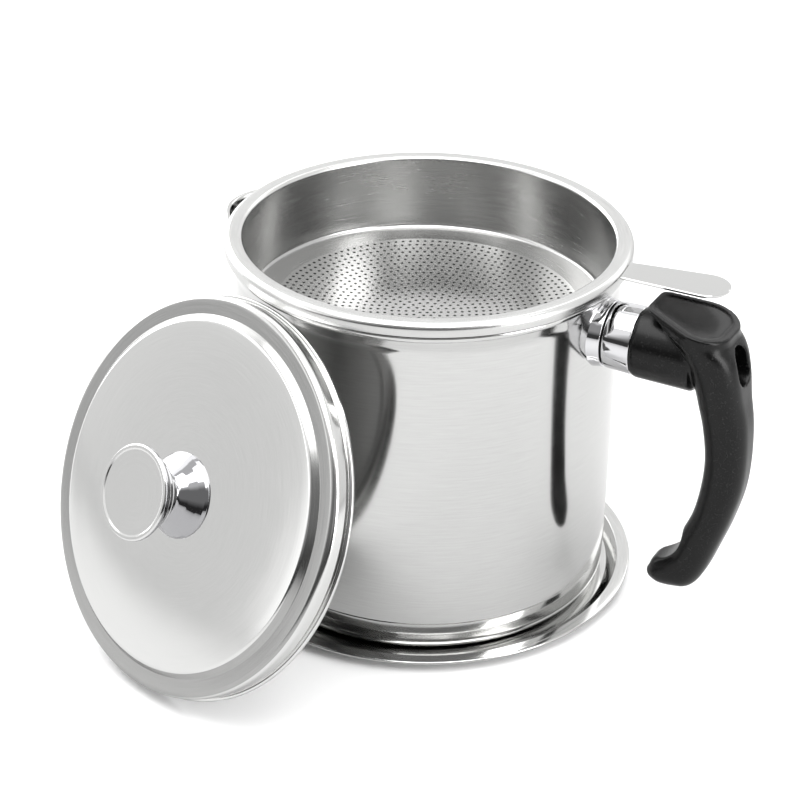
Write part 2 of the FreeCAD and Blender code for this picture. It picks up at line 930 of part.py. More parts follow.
def pad_section(body, name, depth, margin):
    """The thumb pad's outline this far under its top, drawn in by a margin."""
    tilt = size("pad_tilt").value
    place = station_place(size("pad_centre").value, size("pad_top").value, tilt)
    place.Base = place.multVec(FreeCAD.Vector(0, 0, -depth.value))
    sketch = new_sketch(body, name, "XY_Plane", place)
    tapered_section(
        sketch,
        size("pad_length") - margin * 2.0,
        size("pad_width") - margin * 2.0,
        size("pad_corner") - margin,
        size("pad_near_width") - margin * 2.0,
        size("pad_near_corner") - margin,
    )
    return sketch


def bore_grip(body):
    """The bolt's bore along the neck and the oval well for its head."""
    offset = FreeCAD.Placement(
        FreeCAD.Vector(0, size("handle_height").value, size("insulator_end").value), FreeCAD.Rotation()
    )
    bore = new_sketch(body, "bolt_bore_plan", "YZ_Plane", offset)
    fixed_circle(bore, (ZERO, ZERO), size("bolt_bore"))
    doc.recompute()
    pocket(body, "bolt_bore", bore, False)
    seat = FreeCAD.Placement(
        FreeCAD.Vector(0, size("handle_height").value, size("bolt_seat").value), FreeCAD.Rotation()
    )
    well = new_sketch(body, "bolt_well_plan", "YZ_Plane", seat)
    half = size("well_width") * HALF
    rounded_section(well, size("well_width"), size("well_height"), half - NUDGE)
    doc.recompute()
    pocket(body, "bolt_well", well, False)


def scallop_grip(body):
    """Shallow hollows for the fingers on the side that faces the pot."""
    offset = FreeCAD.Placement(FreeCAD.Vector(0, 0, size("pad_width").value), FreeCAD.Rotation())
    sketch = new_sketch(body, "scallop_plan", "XZ_Plane", offset)
    for scallop in SCALLOPS:
        key = "scallop_" + scallop[0] + "_"
        fixed_circle(sketch, (size(key + "reach"), size(key + "height")), size(key + "radius"))
    doc.recompute()
    pocket(body, "grip_scallops", sketch, True)


# Long bolt from the grip's well to the boss, with a washer under its head
def make_bolt():
    tip = size("bolt_tip")
    shank = size("bolt_radius")
    seat = size("bolt_seat") + size("washer_sheet") + size("weld_gap") * 2.0
    head = size("bolt_head_radius")
    end = seat + size("bolt_head_length")
    socket = size("bolt_socket_radius")
    floor = end - size("bolt_socket_depth")
    body = new_body("handle_bolt")
    revolve(
        body,
        "bolt_turned",
        [
            (tip, ZERO),
            (tip, shank),
            (seat, shank),
            (seat, head),
            (end, head),
            (end, socket),
            (floor, socket),
            (floor, ZERO),
        ],
        "H_Axis",
    )
    handle_place(body)
    return body


def make_bolt_washer():
    back = size("bolt_seat") + size("weld_gap")
    front = back + size("washer_sheet")
    body = new_body("bolt_washer")
    hole = size("washer_hole")
    rim = size("washer_radius")
    revolve(body, "washer_ring", [(back, hole), (back, rim), (front, rim), (front, hole)], "H_Axis")
    handle_place(body)
    return body


# Lid: rolled bead, stepped flange and a low dome, leaning against the rim
def make_lid():
    gauge = size("lid_sheet")
    bead = size("lid_bead_radius")
    bead_half = size("lid_bead_height") * HALF
    bead_inner = bead - size("lid_bead_width")
    skirt = size("lid_skirt_radius")
    skirt_inner = skirt - size("lid_skirt_wall")
    flange = size("lid_flange_height")
    foot = size("lid_flange_inner")
    shoulder = size("lid_shoulder_radius")
    shoulder_height = size("lid_shoulder_height")
    crown = size("lid_crown_radius")
    crown_height = size("lid_crown_height")
    top = size("lid_top")
    flat = size("lid_top_radius")
    hole = size("lid_screw_hole")
    body = new_body("lid_shell")
    revolve(
        body,
        "lid_form",
        [
            (bead_inner, -bead_half),
            (bead, -bead_half),
            (bead, bead_half),
            (skirt - size("lid_bead_neck"), bead_half),
            (skirt - size("lid_bead_neck"), size("lid_bead_neck_top")),
            (skirt, size("lid_skirt_foot")),
            (skirt, flange),
            (foot, flange),
            (shoulder, shoulder_height),
            (crown, crown_height),
            (flat, top),
            (hole, top),
            (hole, top - gauge),
            (flat, top - gauge),
            (crown, crown_height - gauge),
            (shoulder - gauge, shoulder_height - gauge),
            (foot - gauge, flange - gauge),
            (skirt_inner, flange - gauge),
            (skirt_inner, bead_half),
            (bead_inner, bead_half),
        ],
    )
    rim = [(bead, bead_half), (bead, -bead_half)]
    round_rings(body, "lid_bead_roll", size("lid_bead_round"), rim)
    round_rings(body, "lid_corner", size("lid_round"), [(skirt, flange)])
    round_rings(body, "lid_shoulder", size("lid_round"), [(shoulder, shoulder_height)])
    body.Placement = lid_place()
    return body


# Knob: bell shaped base and a broad ringed cap, held by a screw from inside
def knob_places(owner, profile, low):
    """The places of a knob profile, measured up from its own foot."""
    return [
        (size(owner + place + "_radius"), low + size(owner + place + "_rise"))
        for place, radius, rise in profile
    ]


def make_knob_base():
    low = size("lid_top") + size("weld_gap")
    thread = size("knob_thread")
    top = low + size("knob_base_height")
    places = knob_places("bell_", KNOB_BELL, low)
    body = new_body("knob_base")
    revolve(body, "knob_bell", [(thread, low)] + places + [(thread, top)])
    round_rings(body, "knob_foot_lip", size("knob_foot_round"), [places[1]])
    body.Placement = lid_place()
    return body


def make_knob_cap():
    low = size("lid_top") + size("knob_base_height") + size("weld_gap") * 2.0
    blind = size("lid_top") + size("knob_blind_reach")
    thread = size("knob_thread")
    places = knob_places("cap_", KNOB_CAP, low)
    face = places[-1][1]
    body = new_body("knob_cap")
    outline_places = [(thread, low)] + places + [(ZERO, face), (ZERO, blind), (thread, blind)]
    revolve(body, "knob_cap_form", outline_places)
    body.Placement = lid_place()
    return body


def make_knob_screw():
    under = size("lid_top") - size("lid_sheet") - size("knob_washer_sheet") - size("weld_gap") * 2.0
    low = under - size("knob_screw_head_height")
    head = size("knob_screw_head")
    shank = size("knob_screw_radius")
    tip = size("lid_top") + size("knob_screw_reach")
    body = new_body("knob_screw")
    revolve(
        body,
        "knob_screw_turned",
        [
            (ZERO, low),
            (size("knob_screw_face"), low),
            (head, low + size("knob_screw_chamfer")),
            (head, under),
            (shank, under),
            (shank, tip),
            (ZERO, tip),
        ],
    )
    body.Placement = lid_place()
    return body


def make_knob_washer():
    top = size("lid_top") - size("lid_sheet") - size("weld_gap")
    low = top - size("knob_washer_sheet")
    hole = size("knob_thread")
    rim = size("knob_washer_radius")
    body = new_body("knob_washer")
    revolve(body, "knob_washer_ring", [(hole, low), (rim, low), (rim, top), (hole, top)])
    body.Placement = lid_place()
    return body


SUBPARTS = [
    make_tray(),
    make_pot_shell(),
    make_strainer(),
    make_tab(),
    make_boss(),
    make_insulator(),
    make_ferrule(),
    make_grip(),
    make_bolt(),
    make_bolt_washer(),
    make_lid(),
    make_knob_base(),
    make_knob_cap(),
    make_knob_screw(),
    make_knob_washer(),
]

doc.recompute()
for item in doc.Objects:
    if "Invalid" in item.State or "Error" in item.State:
        raise RuntimeError(item.Name + " is " + str(item.State))
for part in SUBPARTS:
    if part.Shape.isNull() or not part.Shape.isValid() or len(part.Shape.Solids) != 1:
        raise RuntimeError(part.Label + " has no single valid solid")

os.makedirs("parts", exist_ok=True)
for part in SUBPARTS:
    part.Shape.exportStep("parts/" + part.Label + ".step")
    print(part.Label, round(part.Shape.Volume, 1))
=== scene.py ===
"""Dressed scene of a steel grease keeper with its tray, strainer, leaning lid and black grip."""

import json
import logging
import math
from dataclasses import astuple, dataclass, replace
from enum import Enum

import bmesh
import bpy
from mathutils import Matrix, Vector


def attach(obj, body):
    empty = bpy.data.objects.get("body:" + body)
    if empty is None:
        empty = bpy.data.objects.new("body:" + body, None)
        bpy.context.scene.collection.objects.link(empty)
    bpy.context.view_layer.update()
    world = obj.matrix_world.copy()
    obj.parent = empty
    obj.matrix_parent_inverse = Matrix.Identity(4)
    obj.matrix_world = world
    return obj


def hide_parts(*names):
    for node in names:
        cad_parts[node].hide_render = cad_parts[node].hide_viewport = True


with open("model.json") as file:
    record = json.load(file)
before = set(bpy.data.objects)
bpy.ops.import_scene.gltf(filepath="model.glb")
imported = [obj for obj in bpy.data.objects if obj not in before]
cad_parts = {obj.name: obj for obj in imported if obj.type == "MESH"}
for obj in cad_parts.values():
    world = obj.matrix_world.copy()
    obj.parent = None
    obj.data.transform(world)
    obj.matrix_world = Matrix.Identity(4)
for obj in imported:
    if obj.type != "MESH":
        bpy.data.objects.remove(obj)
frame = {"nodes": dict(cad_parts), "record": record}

logging.basicConfig(level=logging.INFO, format="%(message)s")
LOG = logging.getLogger("grease_keeper")

MM = 0.001
FULL_TURN = 2.0 * math.pi
SEGMENTS = 224
SHARP_ANGLE = math.radians(38.0)
ON_AXIS = 1e-6
UPRIGHT = Matrix.Identity(4)
HANDLE_HEIGHT = 114.5
HANDLE_AXIS = Matrix.Translation((0.0, 0.0, HANDLE_HEIGHT)) @ Matrix.Rotation(math.radians(90.0), 4, "Y")


class Slot(Enum):
    """Material slots of the record that the pieces take their finish from."""

    SATIN = "satin_steel"
    LID = "brushed_lid"
    CHROME = "polished_chrome"
    PHENOLIC = "black_phenolic"
    FIBRE = "black_fibre"
    ZINC = "zinc_steel"


class Body(Enum):
    """Moving bodies of the frame that the pieces ride on."""

    TRAY = "tray"
    POT = "pot"
    STRAINER = "strainer"
    LID = "lid"


def linear(code: str) -> tuple[float, float, float, float]:
    """Turn an sRGB hex colour into linear RGBA.

    Args:
        code: Six hex digits, such as "c0c0c0".

    Returns:
        The colour with alpha 1.
    """
    channels = []
    for start in (0, 2, 4):
        value = int(code[start : start + 2], 16) / 255.0
        channels.append(value / 12.92 if value <= 0.04045 else ((value + 0.055) / 1.055) ** 2.4)
    return (*channels, 1.0)


def add_node(tree, kind: str, links: dict | None = None, settings: dict | None = None, **values):
    """Add a shader or geometry node, set its sockets and join its inputs.

    Args:
        tree: Node tree that gets the node.
        kind: Type name of the node.
        links: Input name or index to the output socket that feeds it.
        settings: Properties of the node itself, such as its operation.
        values: Input names, with spaces as underscores, to their values.

    Returns:
        The new node.
    """
    node = tree.nodes.new(kind)
    for key, value in (settings or {}).items():
        setattr(node, key, value)
    for key, value in values.items():
        node.inputs[key.replace("_", " ")].default_value = value
    for key, socket in (links or {}).items():
        tree.links.new(socket, node.inputs[key])
    return node


def mix_colours(tree, share, first: str, second: str):
    """Blend two colours by a share from 0 to 1.

    Args:
        tree: Node tree that gets the node.
        share: Socket that gives the share.
        first: Hex colour at 0.
        second: Hex colour at 1.

    Returns:
        The socket of the blended colour.
    """
    node = add_node(tree, "ShaderNodeMix", {"Factor": share}, {"data_type": "RGBA"})
    ends = [socket for socket in node.inputs if socket.type == "RGBA"]
    for end, code in zip(ends, (first, second)):
        end.default_value = linear(code)
    return next(socket for socket in node.outputs if socket.type == "RGBA")


def add_noise(tree, vector, size: float, detail: float, **values):
    """Add a noise texture.

    Args:
        tree: Node tree that gets the node.
        vector: Socket of the coordinates.
        size: Size of the grain, in units of the coordinates.
        detail: Number of octaves.
        values: Other inputs of the node.

    Returns:
        The socket of the noise.
    """
    return add_node(
        tree, "ShaderNodeTexNoise", {"Vector": vector}, Scale=1.0 / size, Detail=detail, **values
    ).outputs["Fac"]


class Finish:
    """A surface finish that builds its own node material."""

    name: str
    roughness: float
    relief: float

    def build(self):
        """Build the material.

        Returns:
            The node material.
        """
        material = bpy.data.materials.new(self.name)
        material.use_nodes = True
        tree = material.node_tree
        shader = tree.nodes["Principled BSDF"]
        shader.inputs["Roughness"].default_value = self.roughness
        grain = self.coat(tree, shader, add_node(tree, "ShaderNodeTexCoord").outputs)
        bump = add_node(tree, "ShaderNodeBump", {"Height": grain}, Strength=1.0, Distance=self.relief)
        tree.links.new(bump.outputs["Normal"], shader.inputs["Normal"])
        return material

    def coat(self, tree, shader, spaces):
        """Set the shader's colour and gloss.

        Args:
            tree: The material's node tree.
            shader: Its principled shader.
            spaces: Outputs of the texture coordinates.

        Returns:
            The socket of the height that the relief follows.
        """
        raise NotImplementedError


@dataclass(frozen=True)
class BrushedSteel(Finish):
    """Steel with fine streaks that run along the first UV direction."""

    name: str
    colour: str
    dark: str
    roughness: float
    spread: float
    streak_length: float
    streak_width: float
    relief: float
    cloud: float
    anisotropy: float
    mottle_low: float = 0.7
    mottle_high: float = 1.3

    def coat(self, tree, shader, spaces):
        """Streak the colour, and mottle the gloss with streaks and broad clouds.

        Args:
            tree: The material's node tree.
            shader: Its principled shader.
            spaces: Outputs of the texture coordinates.

        Returns:
            The socket of the streaks.
        """
        scale = (1.0 / self.streak_length, 1.0 / self.streak_width, 1.0)
        stretched = add_node(tree, "ShaderNodeMapping", {"Vector": spaces["UV"]}, Scale=scale)
        streak = add_noise(tree, stretched.outputs[0], 1.0, 5.0, Roughness=0.65)
        cloud = add_noise(tree, spaces["Object"], self.cloud, 3.0)
        blend = add_node(tree, "ShaderNodeMath", {0: streak, 1: cloud}, {"operation": "ADD"})
        rough = add_node(
            tree,
            "ShaderNodeMapRange",
            {"Value": blend.outputs[0]},
            From_Min=self.mottle_low,
            From_Max=self.mottle_high,
            To_Min=self.roughness - self.spread,
            To_Max=self.roughness + self.spread,
        )
        shader.inputs["Metallic"].default_value = 1.0
        shader.inputs["Anisotropic"].default_value = self.anisotropy
        tree.links.new(mix_colours(tree, streak, self.dark, self.colour), shader.inputs["Base Color"])
        tree.links.new(rough.outputs["Result"], shader.inputs["Roughness"])
        return streak


@dataclass(frozen=True)
class Polished(Finish):
    """Bright plated metal with faint waviness."""

    name: str
    colour: str
    roughness: float
    wave_size: float
    relief: float

    def coat(self, tree, shader, spaces):
        """Set one colour and wave the surface.

        Args:
            tree: The material's node tree.
            shader: Its principled shader.
            spaces: Outputs of the texture coordinates.

        Returns:
            The socket of the waves.
        """
        shader.inputs["Base Color"].default_value = linear(self.colour)
        shader.inputs["Metallic"].default_value = 1.0
        return add_noise(tree, spaces["Object"], self.wave_size, 2.0)


@dataclass(frozen=True)
class Moulded(Finish):
    """Moulded resin with a fine grain and pale specks."""

    name: str
    colour: str
    speck: str
    roughness: float
    grain_size: float
    relief: float
    gloss: float = 0.3
    speck_start: float = 0.6
    speck_end: float = 0.75

    def coat(self, tree, shader, spaces):
        """Speck the colour where the grain peaks.

        Args:
            tree: The material's node tree.
            shader: Its principled shader.
            spaces: Outputs of the texture coordinates.

        Returns:
            The socket of the grain.
        """
        grain = add_noise(tree, spaces["Object"], self.grain_size, 4.0)
        specks = add_node(
            tree, "ShaderNodeMapRange", {"Value": grain}, From_Min=self.speck_start, From_Max=self.speck_end
        )
        colour = mix_colours(tree, specks.outputs["Result"], self.colour, self.speck)
        shader.inputs["Specular IOR Level"].default_value = self.gloss
        tree.links.new(colour, shader.inputs["Base Color"])
        return grain


SATIN = BrushedSteel("satin_steel", "d8d8d7", "c0c0bf", 0.11, 0.03, 0.014, 0.0006, 0.000002, 0.03, 0.2)
LID = BrushedSteel("brushed_lid", "dcdcdb", "d2d2d1", 0.13, 0.02, 0.02, 0.0006, 0.000001, 0.02, 0.0)
RIM = replace(SATIN, name="rim_steel", roughness=0.24, spread=0.04)
# Painted shade: a darker copy of the satin colour for the basket's inner wall, standing in for the shade
# inside the basket.
SHADED_BASKET_WALL = replace(
    SATIN, name="shaded_basket_wall_steel", colour="bebebd", dark="a6a6a5", roughness=0.24, spread=0.05
)
# Painted shade: a slightly darker copy of the satin colour for the basket's floor, standing in for the shade
# inside the basket.
SHADED_BASKET_FLOOR = replace(
    SATIN, name="shaded_basket_floor_steel", colour="d6d6d5", dark="bebebd", roughness=0.13, spread=0.03
)
# Painted shade: a much darker, rougher copy of the lid's colour for its underside, where shade falls between
# the lid and the pot.
SHADED_LID_INSIDE = replace(LID, name="shaded_lid_inside", colour="8e8e8d", dark="7c7c7b", roughness=0.3)
# Painted shade: a darker copy of the lid's colour for the flange ring, standing in for its darker
# reflections.
SHADED_LID_FLANGE = replace(LID, name="shaded_brushed_flange", colour="b2b2b1", dark="9a9a99", roughness=0.2)
# Painted shade: a darker copy of the chrome colour for the knob's bell and the cap's underside.
SHADED_KNOB_BELL = Polished("shaded_polished_bell", "a4a4a6", 0.07, 0.01, 0.000001)
FINISHES = {
    Slot.SATIN: SATIN,
    Slot.LID: LID,
    Slot.CHROME: Polished("polished_chrome", "dcdcde", 0.05, 0.01, 0.000001),
    Slot.PHENOLIC: Moulded("black_phenolic", "050505", "2e2e2e", 0.26, 0.0006, 0.00004, 0.28),
    Slot.FIBRE: Moulded("black_fibre", "0b0b0b", "1a1a1a", 0.7, 0.0005, 0.00003),
    Slot.ZINC: Polished("zinc_steel", "b4b4b0", 0.28, 0.002, 0.000008),
}


class Palette:
    """Builds each finish the first time that a piece asks for it."""

    def __init__(self):
        self.made = {}

    def get(self, finish: Finish):
        """Give the material of a finish.

        Args:
            finish: The finish.

        Returns:
            The node material.
        """
        if finish.name not in self.made:
            self.made[finish.name] = finish.build()
        return self.made[finish.name]


def arc(centre, radius: float, first: float, last: float, steps: int) -> list[Vector]:
    """Points along an arc.

    Args:
        centre: Across and along of its centre, in millimetres.
        radius: Its radius, in millimetres.
        first: Angle of its start, in radians.
        last: Angle of its end, in radians.
        steps: Number of chords.

    Returns:
        Points in millimetres.
    """
    across, along = centre
    angles = [first + (last - first) * step / steps for step in range(steps + 1)]
    return [Vector((across + radius * math.cos(turn), along + radius * math.sin(turn))) for turn in angles]


def rounded(corners: list[tuple[float, float, float]], closed: bool, steps: int = 8) -> list[Vector]:
    """Draw a line through corners, each with its own rounding.

    Args:
        corners: Across, along and radius of each corner, in millimetres.
        closed: True if the last corner joins the first.
        steps: Chords in each rounded corner.

    Returns:
        Points of the line in millimetres.
    """
    widest = 0.495
    line = []
    count = len(corners)
    for index, (across, along, radius) in enumerate(corners):
        corner = Vector((across, along))
        if radius <= 0.0 or (not closed and index in (0, count - 1)):
            line.append(corner)
            continue
        before = Vector(corners[index - 1][:2]) - corner
        after = Vector(corners[(index + 1) % count][:2]) - corner
        half = before.angle(after) / 2.0
        reach = min(radius / math.tan(half), before.length * widest, after.length * widest)
        radius = reach * math.tan(half)
        middle = (before.normalized() + after.normalized()).normalized() * (radius / math.sin(half))
        arm = before.normalized() * reach - middle
        first = math.atan2(arm.y, arm.x)
        sweep = math.copysign(math.pi - 2.0 * half, -before.cross(after))
        line += arc(corner + middle, radius, first, first + sweep, steps)
    return line


def hull(discs: list[tuple[float, float, float]], steps: int = 12) -> list[Vector]:
    """Draw the closed line round a few discs.

    Args:
        discs: Across, along and radius of each disc, counterclockwise, in millimetres.
        steps: Chords round each disc.

    Returns:
        Points of the line in millimetres.
    """
    turns = []
    for index, (across, along, radius) in enumerate(discs):
        next_across, next_along, next_radius = discs[(index + 1) % len(discs)]
        run, climb = next_across - across, next_along - along
        slope = (radius - next_radius) / math.hypot(run, climb)
        turns.append(math.atan2(climb, run) - math.acos(slope))
    line = []
    for index, (across, along, radius) in enumerate(discs):
        first, last = turns[index - 1], turns[index]
        while last < first:
            last += FULL_TURN
        line += arc((across, along), radius, first, last, steps)
    return line


def new_object(name: str, data):
    """Link a mesh, a lamp or a camera as an object of the scene.

    Args:
        name: Name of the object.
        data: What it shows.

    Returns:
        The object.
    """
    made = bpy.data.objects.new(name, data)
    bpy.context.scene.collection.objects.link(made)
    return made


def smooth_shade(mesh):
    """Shade a mesh smooth between its sharp edges.

    Args:
        mesh: The mesh.
    """
    mesh.shade_smooth()
    mesh.set_sharp_from_angle(angle=SHARP_ANGLE)


def finish_mesh(mesh, place: Matrix):
    """Place a mesh, make its faces point outward and shade it smooth.

    Args:
        mesh: Mesh in millimetres, changed in place to metres.
        place: Where its own frame stands, in millimetres.
    """
    mesh.transform(Matrix.Scale(MM, 4) @ place)
    work = bmesh.new()
    work.from_mesh(mesh)
    if work.calc_volume(signed=True) < 0.0:
        bmesh.ops.reverse_faces(work, faces=work.faces)
    work.to_mesh(mesh)
    work.free()
    smooth_shade(mesh)


def lathe(name: str, line: list[Vector], place: Matrix, closed: bool = False, bulge=None, segments=SEGMENTS):
    """Turn a line round the third axis of its frame, with UVs in metres.

    Args:
        name: Name of the object.
        line: Radius and rise of each point, in millimetres.
        place: Where its frame stands, in millimetres.
        closed: True if the line's end joins its start.
        bulge: Optional function of angle, radius and rise that gives a new radius.
        segments: Steps round the turn.

    Returns:
        The object.
    """
    points, rings = [], []
    for item in line:
        if item.x < ON_AXIS:
            rings.append([len(points)] * segments)
            points.append((0.0, 0.0, item.y))
            continue
        rings.append(list(range(len(points), len(points) + segments)))
        for step in range(segments):
            angle = FULL_TURN * step / segments
            radius = bulge(angle, item.x, item.y) if bulge else item.x
            points.append((radius * math.cos(angle), radius * math.sin(angle), item.y))
    lengths = [0.0]
    for start, end in zip(line, line[1:]):
        lengths.append(lengths[-1] + (end - start).length)
    lengths.append(lengths[-1] + 1.0)
    girth = FULL_TURN * max(item.x for item in line)
    faces, coords = [], []
    for index in range(len(line) if closed else len(line) - 1):
        lower, upper = rings[index], rings[(index + 1) % len(line)]
        if lower[0] == lower[1] and upper[0] == upper[1]:
            continue
        low, high = lengths[index] * MM, lengths[index + 1] * MM
        for step in range(segments):
            following = (step + 1) % segments
            left = girth * step / segments * MM
            right = girth * (step + 1) / segments * MM
            corners = [
                (lower[step], (left, low)),
                (lower[following], (right, low)),
                (upper[following], (right, high)),
                (upper[step], (left, high)),
            ]
            if lower[step] == lower[following]:
                del corners[1]
            elif upper[step] == upper[following]:
                del corners[3]
            faces.append([vertex for vertex, _ in corners])
            coords.extend(coord for _, coord in corners)
    mesh = bpy.data.meshes.new(name)
    mesh.from_pydata(points, [], faces)
    layer = mesh.uv_layers.new(name="run")
    for loop, coord in zip(layer.data, coords):
        loop.uv = coord
    finish_mesh(mesh, place)
    return new_object(name, mesh)


def skin(name: str, rings: list[list[Vector]], place: Matrix):
    """Cover a stack of rings of equal count and close both ends.

    Args:
        name: Name of the object.
        rings: Points of each ring, in millimetres.
        place: Where its frame stands, in millimetres.

    Returns:
        The object.
    """
    count = len(rings[0])
    points = [tuple(point) for ring in rings for point in ring]
    faces = []
    for base in range(0, len(points) - count, count):
        for step in range(count):
            following = (step + 1) % count
            faces.append((base + step, base + following, base + count + following, base + count + step))
    faces.append(tuple(reversed(range(count))))
    faces.append(tuple(range(len(points) - count, len(points))))
    mesh = bpy.data.meshes.new(name)
    mesh.from_pydata(points, [], faces)
    finish_mesh(mesh, place)
    return new_object(name, mesh)


def add_modifier(item, kind: str, **settings):
    """Add a modifier to an object.

    Args:
        item: The object.
        kind: Type name of the modifier.
        settings: Its properties.

    Returns:
        The modifier.
    """
    modifier = item.modifiers.new(kind, kind)
    for key, value in settings.items():
        setattr(modifier, key, value)
    return modifier


def apply_modifiers(item):
    """Bake an object's modifiers into its mesh and take them off.

    Args:
        item: The object.
    """
    depsgraph = bpy.context.evaluated_depsgraph_get()
    made = bpy.data.meshes.new_from_object(item.evaluated_get(depsgraph))
    item.modifiers.clear()
    old = item.data
    item.data = made
    bpy.data.meshes.remove(old)


class Piece:
    """A sub-assembly whose objects have a finish and a body."""

    body: Body

    def __init__(self, palette: Palette):
        self.palette = palette

    def dress(self, item, slot: Slot, *nodes: str, finish: Finish | None = None):
        """Give an object its finish, its body and the frame nodes that it stands for.

        Args:
            item: The object.
            slot: Slot of its finish.
            nodes: Frame nodes that it replaces.
            finish: A finish of its own, if it isn't the slot's.

        Returns:
            The object.
        """
        body = self.body
        item.data.materials.clear()
        item.data.materials.append(self.palette.get(finish or FINISHES[slot]))
        if nodes:
            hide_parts(*nodes)
        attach(item, body.value)
        LOG.info("%s: %d faces", item.name, len(item.data.polygons))
        return item

    def add_finishes(self, item, finishes: tuple, pick):
        """Give some of an object's faces another finish.

        Args:
            item: The object, which has its first finish.
            finishes: The further finishes, counted from 1.
            pick: Function of a face that gives the number of its finish.
        """
        for finish in finishes:
            item.data.materials.append(self.palette.get(finish))
        for face in item.data.polygons:
            face.material_index = pick(face)


@dataclass(frozen=True)
class TraySizes:
    """Drip tray, in millimetres."""

    table_gap: float = 0.02
    floor: float = 72.3
    wall: float = 76.3
    radius: float = 80.45
    height: float = 4.28
    gauge: float = 0.6
    slope: float = 0.48
    roll: float = 0.5
    hem_width: float = 1.0
    hem_depth: float = 1.1


class Tray(Piece):
    """Shallow drip tray with a flat rolled flange."""

    body = Body.TRAY
    sizes = TraySizes()

    def build(self):
        """Build the tray."""
        s = self.sizes
        under, hem, inside = s.height - s.gauge, s.height - s.hem_depth, s.radius - s.hem_width
        corners = [
            (0.0, s.table_gap, 0.0),
            (s.floor, s.table_gap, 0.9),
            (s.wall, under, 0.5),
            (inside, under, 0.1),
            (inside, hem, 0.15),
            (s.radius, hem, s.roll),
            (s.radius, s.height, s.roll),
            (s.wall - s.slope, s.height, 0.6),
            (s.floor - s.slope, s.gauge, 0.7),
            (0.0, s.gauge, 0.0),
        ]
        self.dress(lathe("tray_dish", rounded(corners, False, 6), UPRIGHT), Slot.SATIN, "tray")


@dataclass(frozen=True)
class PotSizes:
    """Pot with its pouring lip, in millimetres."""

    base: float = 0.92
    radius: float = 70.0
    gauge: float = 0.8
    corner: float = 10.0
    crease_foot: float = 13.3
    crease_top: float = 13.9
    crease_depth: float = 0.25
    flare: float = 1.4
    flare_start: float = 124.5
    flare_end: float = 129.4
    rim_radius: float = 72.45
    rim_top: float = 131.45
    lip_centre: float = 61.0
    lip_radius: float = 20.9
    lip_foot: float = 105.0
    lip_foot_radius: float = 8.9
    lip_reach: float = 2.0


class Pot(Piece):
    """Deep drawn pot whose rim swells into a pouring lip."""

    body = Body.POT
    sizes = PotSizes()

    def wall(self, rise: float) -> float:
        """Radius of the wall's outer face, which flares under the rim.

        Args:
            rise: Height above the table.

        Returns:
            The radius in millimetres.
        """
        s = self.sizes
        part = (rise - s.flare_start) / (s.flare_end - s.flare_start)
        return s.radius + s.flare * min(max(part, 0.0), 1.0)

    def lip(self, angle: float, radius: float, rise: float) -> float:
        """Radius of the pot where the pouring lip swells from it.

        Args:
            angle: Angle round the pot from the handle.
            radius: Radius without the lip.
            rise: Height above the table.

        Returns:
            The new radius.
        """
        s = self.sizes
        wall = self.wall(rise)
        part = min((rise - s.lip_foot) / (s.rim_top - s.lip_foot), 1.0)
        tip = s.lip_foot_radius + (s.lip_radius - s.lip_foot_radius) * part
        if part <= 0.0 or radius < wall - s.lip_reach or wall - tip >= s.lip_centre:
            return radius
        spread = math.acos((wall - tip) / s.lip_centre)
        away = abs(math.pi - angle)
        if away >= spread:
            return radius
        touch = math.atan2(tip * math.sin(spread), s.lip_centre + tip * math.cos(spread))
        if away >= touch:
            reach = wall / math.cos(spread - away)
        else:
            side = s.lip_centre * math.sin(away)
            reach = s.lip_centre * math.cos(away) + math.sqrt(tip * tip - side * side)
        return reach + radius - wall

    def build(self):
        """Build the pot's shell."""
        s = self.sizes
        body = s.radius - s.crease_depth
        rows = range(int(s.lip_foot), int(s.flare_end) + 1)
        corners = [
            (0.0, s.base, 0.0),
            (body, s.base, s.corner),
            (body, s.crease_foot, 0.2),
            (s.radius, s.crease_top, 0.2),
            *((self.wall(rise), float(rise), 0.0) for rise in rows),
            (s.rim_radius, s.flare_end, 0.9),
            (s.rim_radius, s.rim_top, 0.9),
            (self.wall(s.rim_top) - s.gauge, s.rim_top, 0.4),
            *((self.wall(rise) - s.gauge, float(rise), 0.0) for rise in reversed(rows)),
            (s.radius - s.gauge, s.base + s.gauge, s.corner - s.gauge),
            (0.0, s.base + s.gauge, 0.0),
        ]
        line = rounded(corners, False, 7)
        shell = lathe("pot_wall", line, UPRIGHT, bulge=self.lip, segments=360)
        self.dress(shell, Slot.SATIN, "pot_shell")


@dataclass(frozen=True)
class StrainerSizes:
    """Strainer basket and its tab, in millimetres."""

    gauge: float = 0.7
    rim: float = 74.05
    top: float = 136.88
    skirt: float = 132.25
    mouth: float = 67.3
    foot: float = 66.4
    shoulder: float = 108.0
    brink: float = 0.6
    brink_depth: float = 1.2
    field: float = 56.5
    field_height: float = 107.4
    dish: float = 3.4
    hole: float = 0.58
    hole_pitch: float = 2.85
    ring_pitch: float = 2.6
    hole_limit: float = 55.2
    punch_length: float = 4.2
    tab_azimuth: float = 6.0
    tab_root: float = 74.15
    tab_neck: float = 78.15
    tab_reach: float = 112.0
    tab_root_half: float = 6.5
    tab_neck_half: float = 6.9
    tab_end_radius: float = 8.75
    tab_gauge: float = 1.1
    tab_bottom: float = 135.28
    tab_edge: float = 0.25


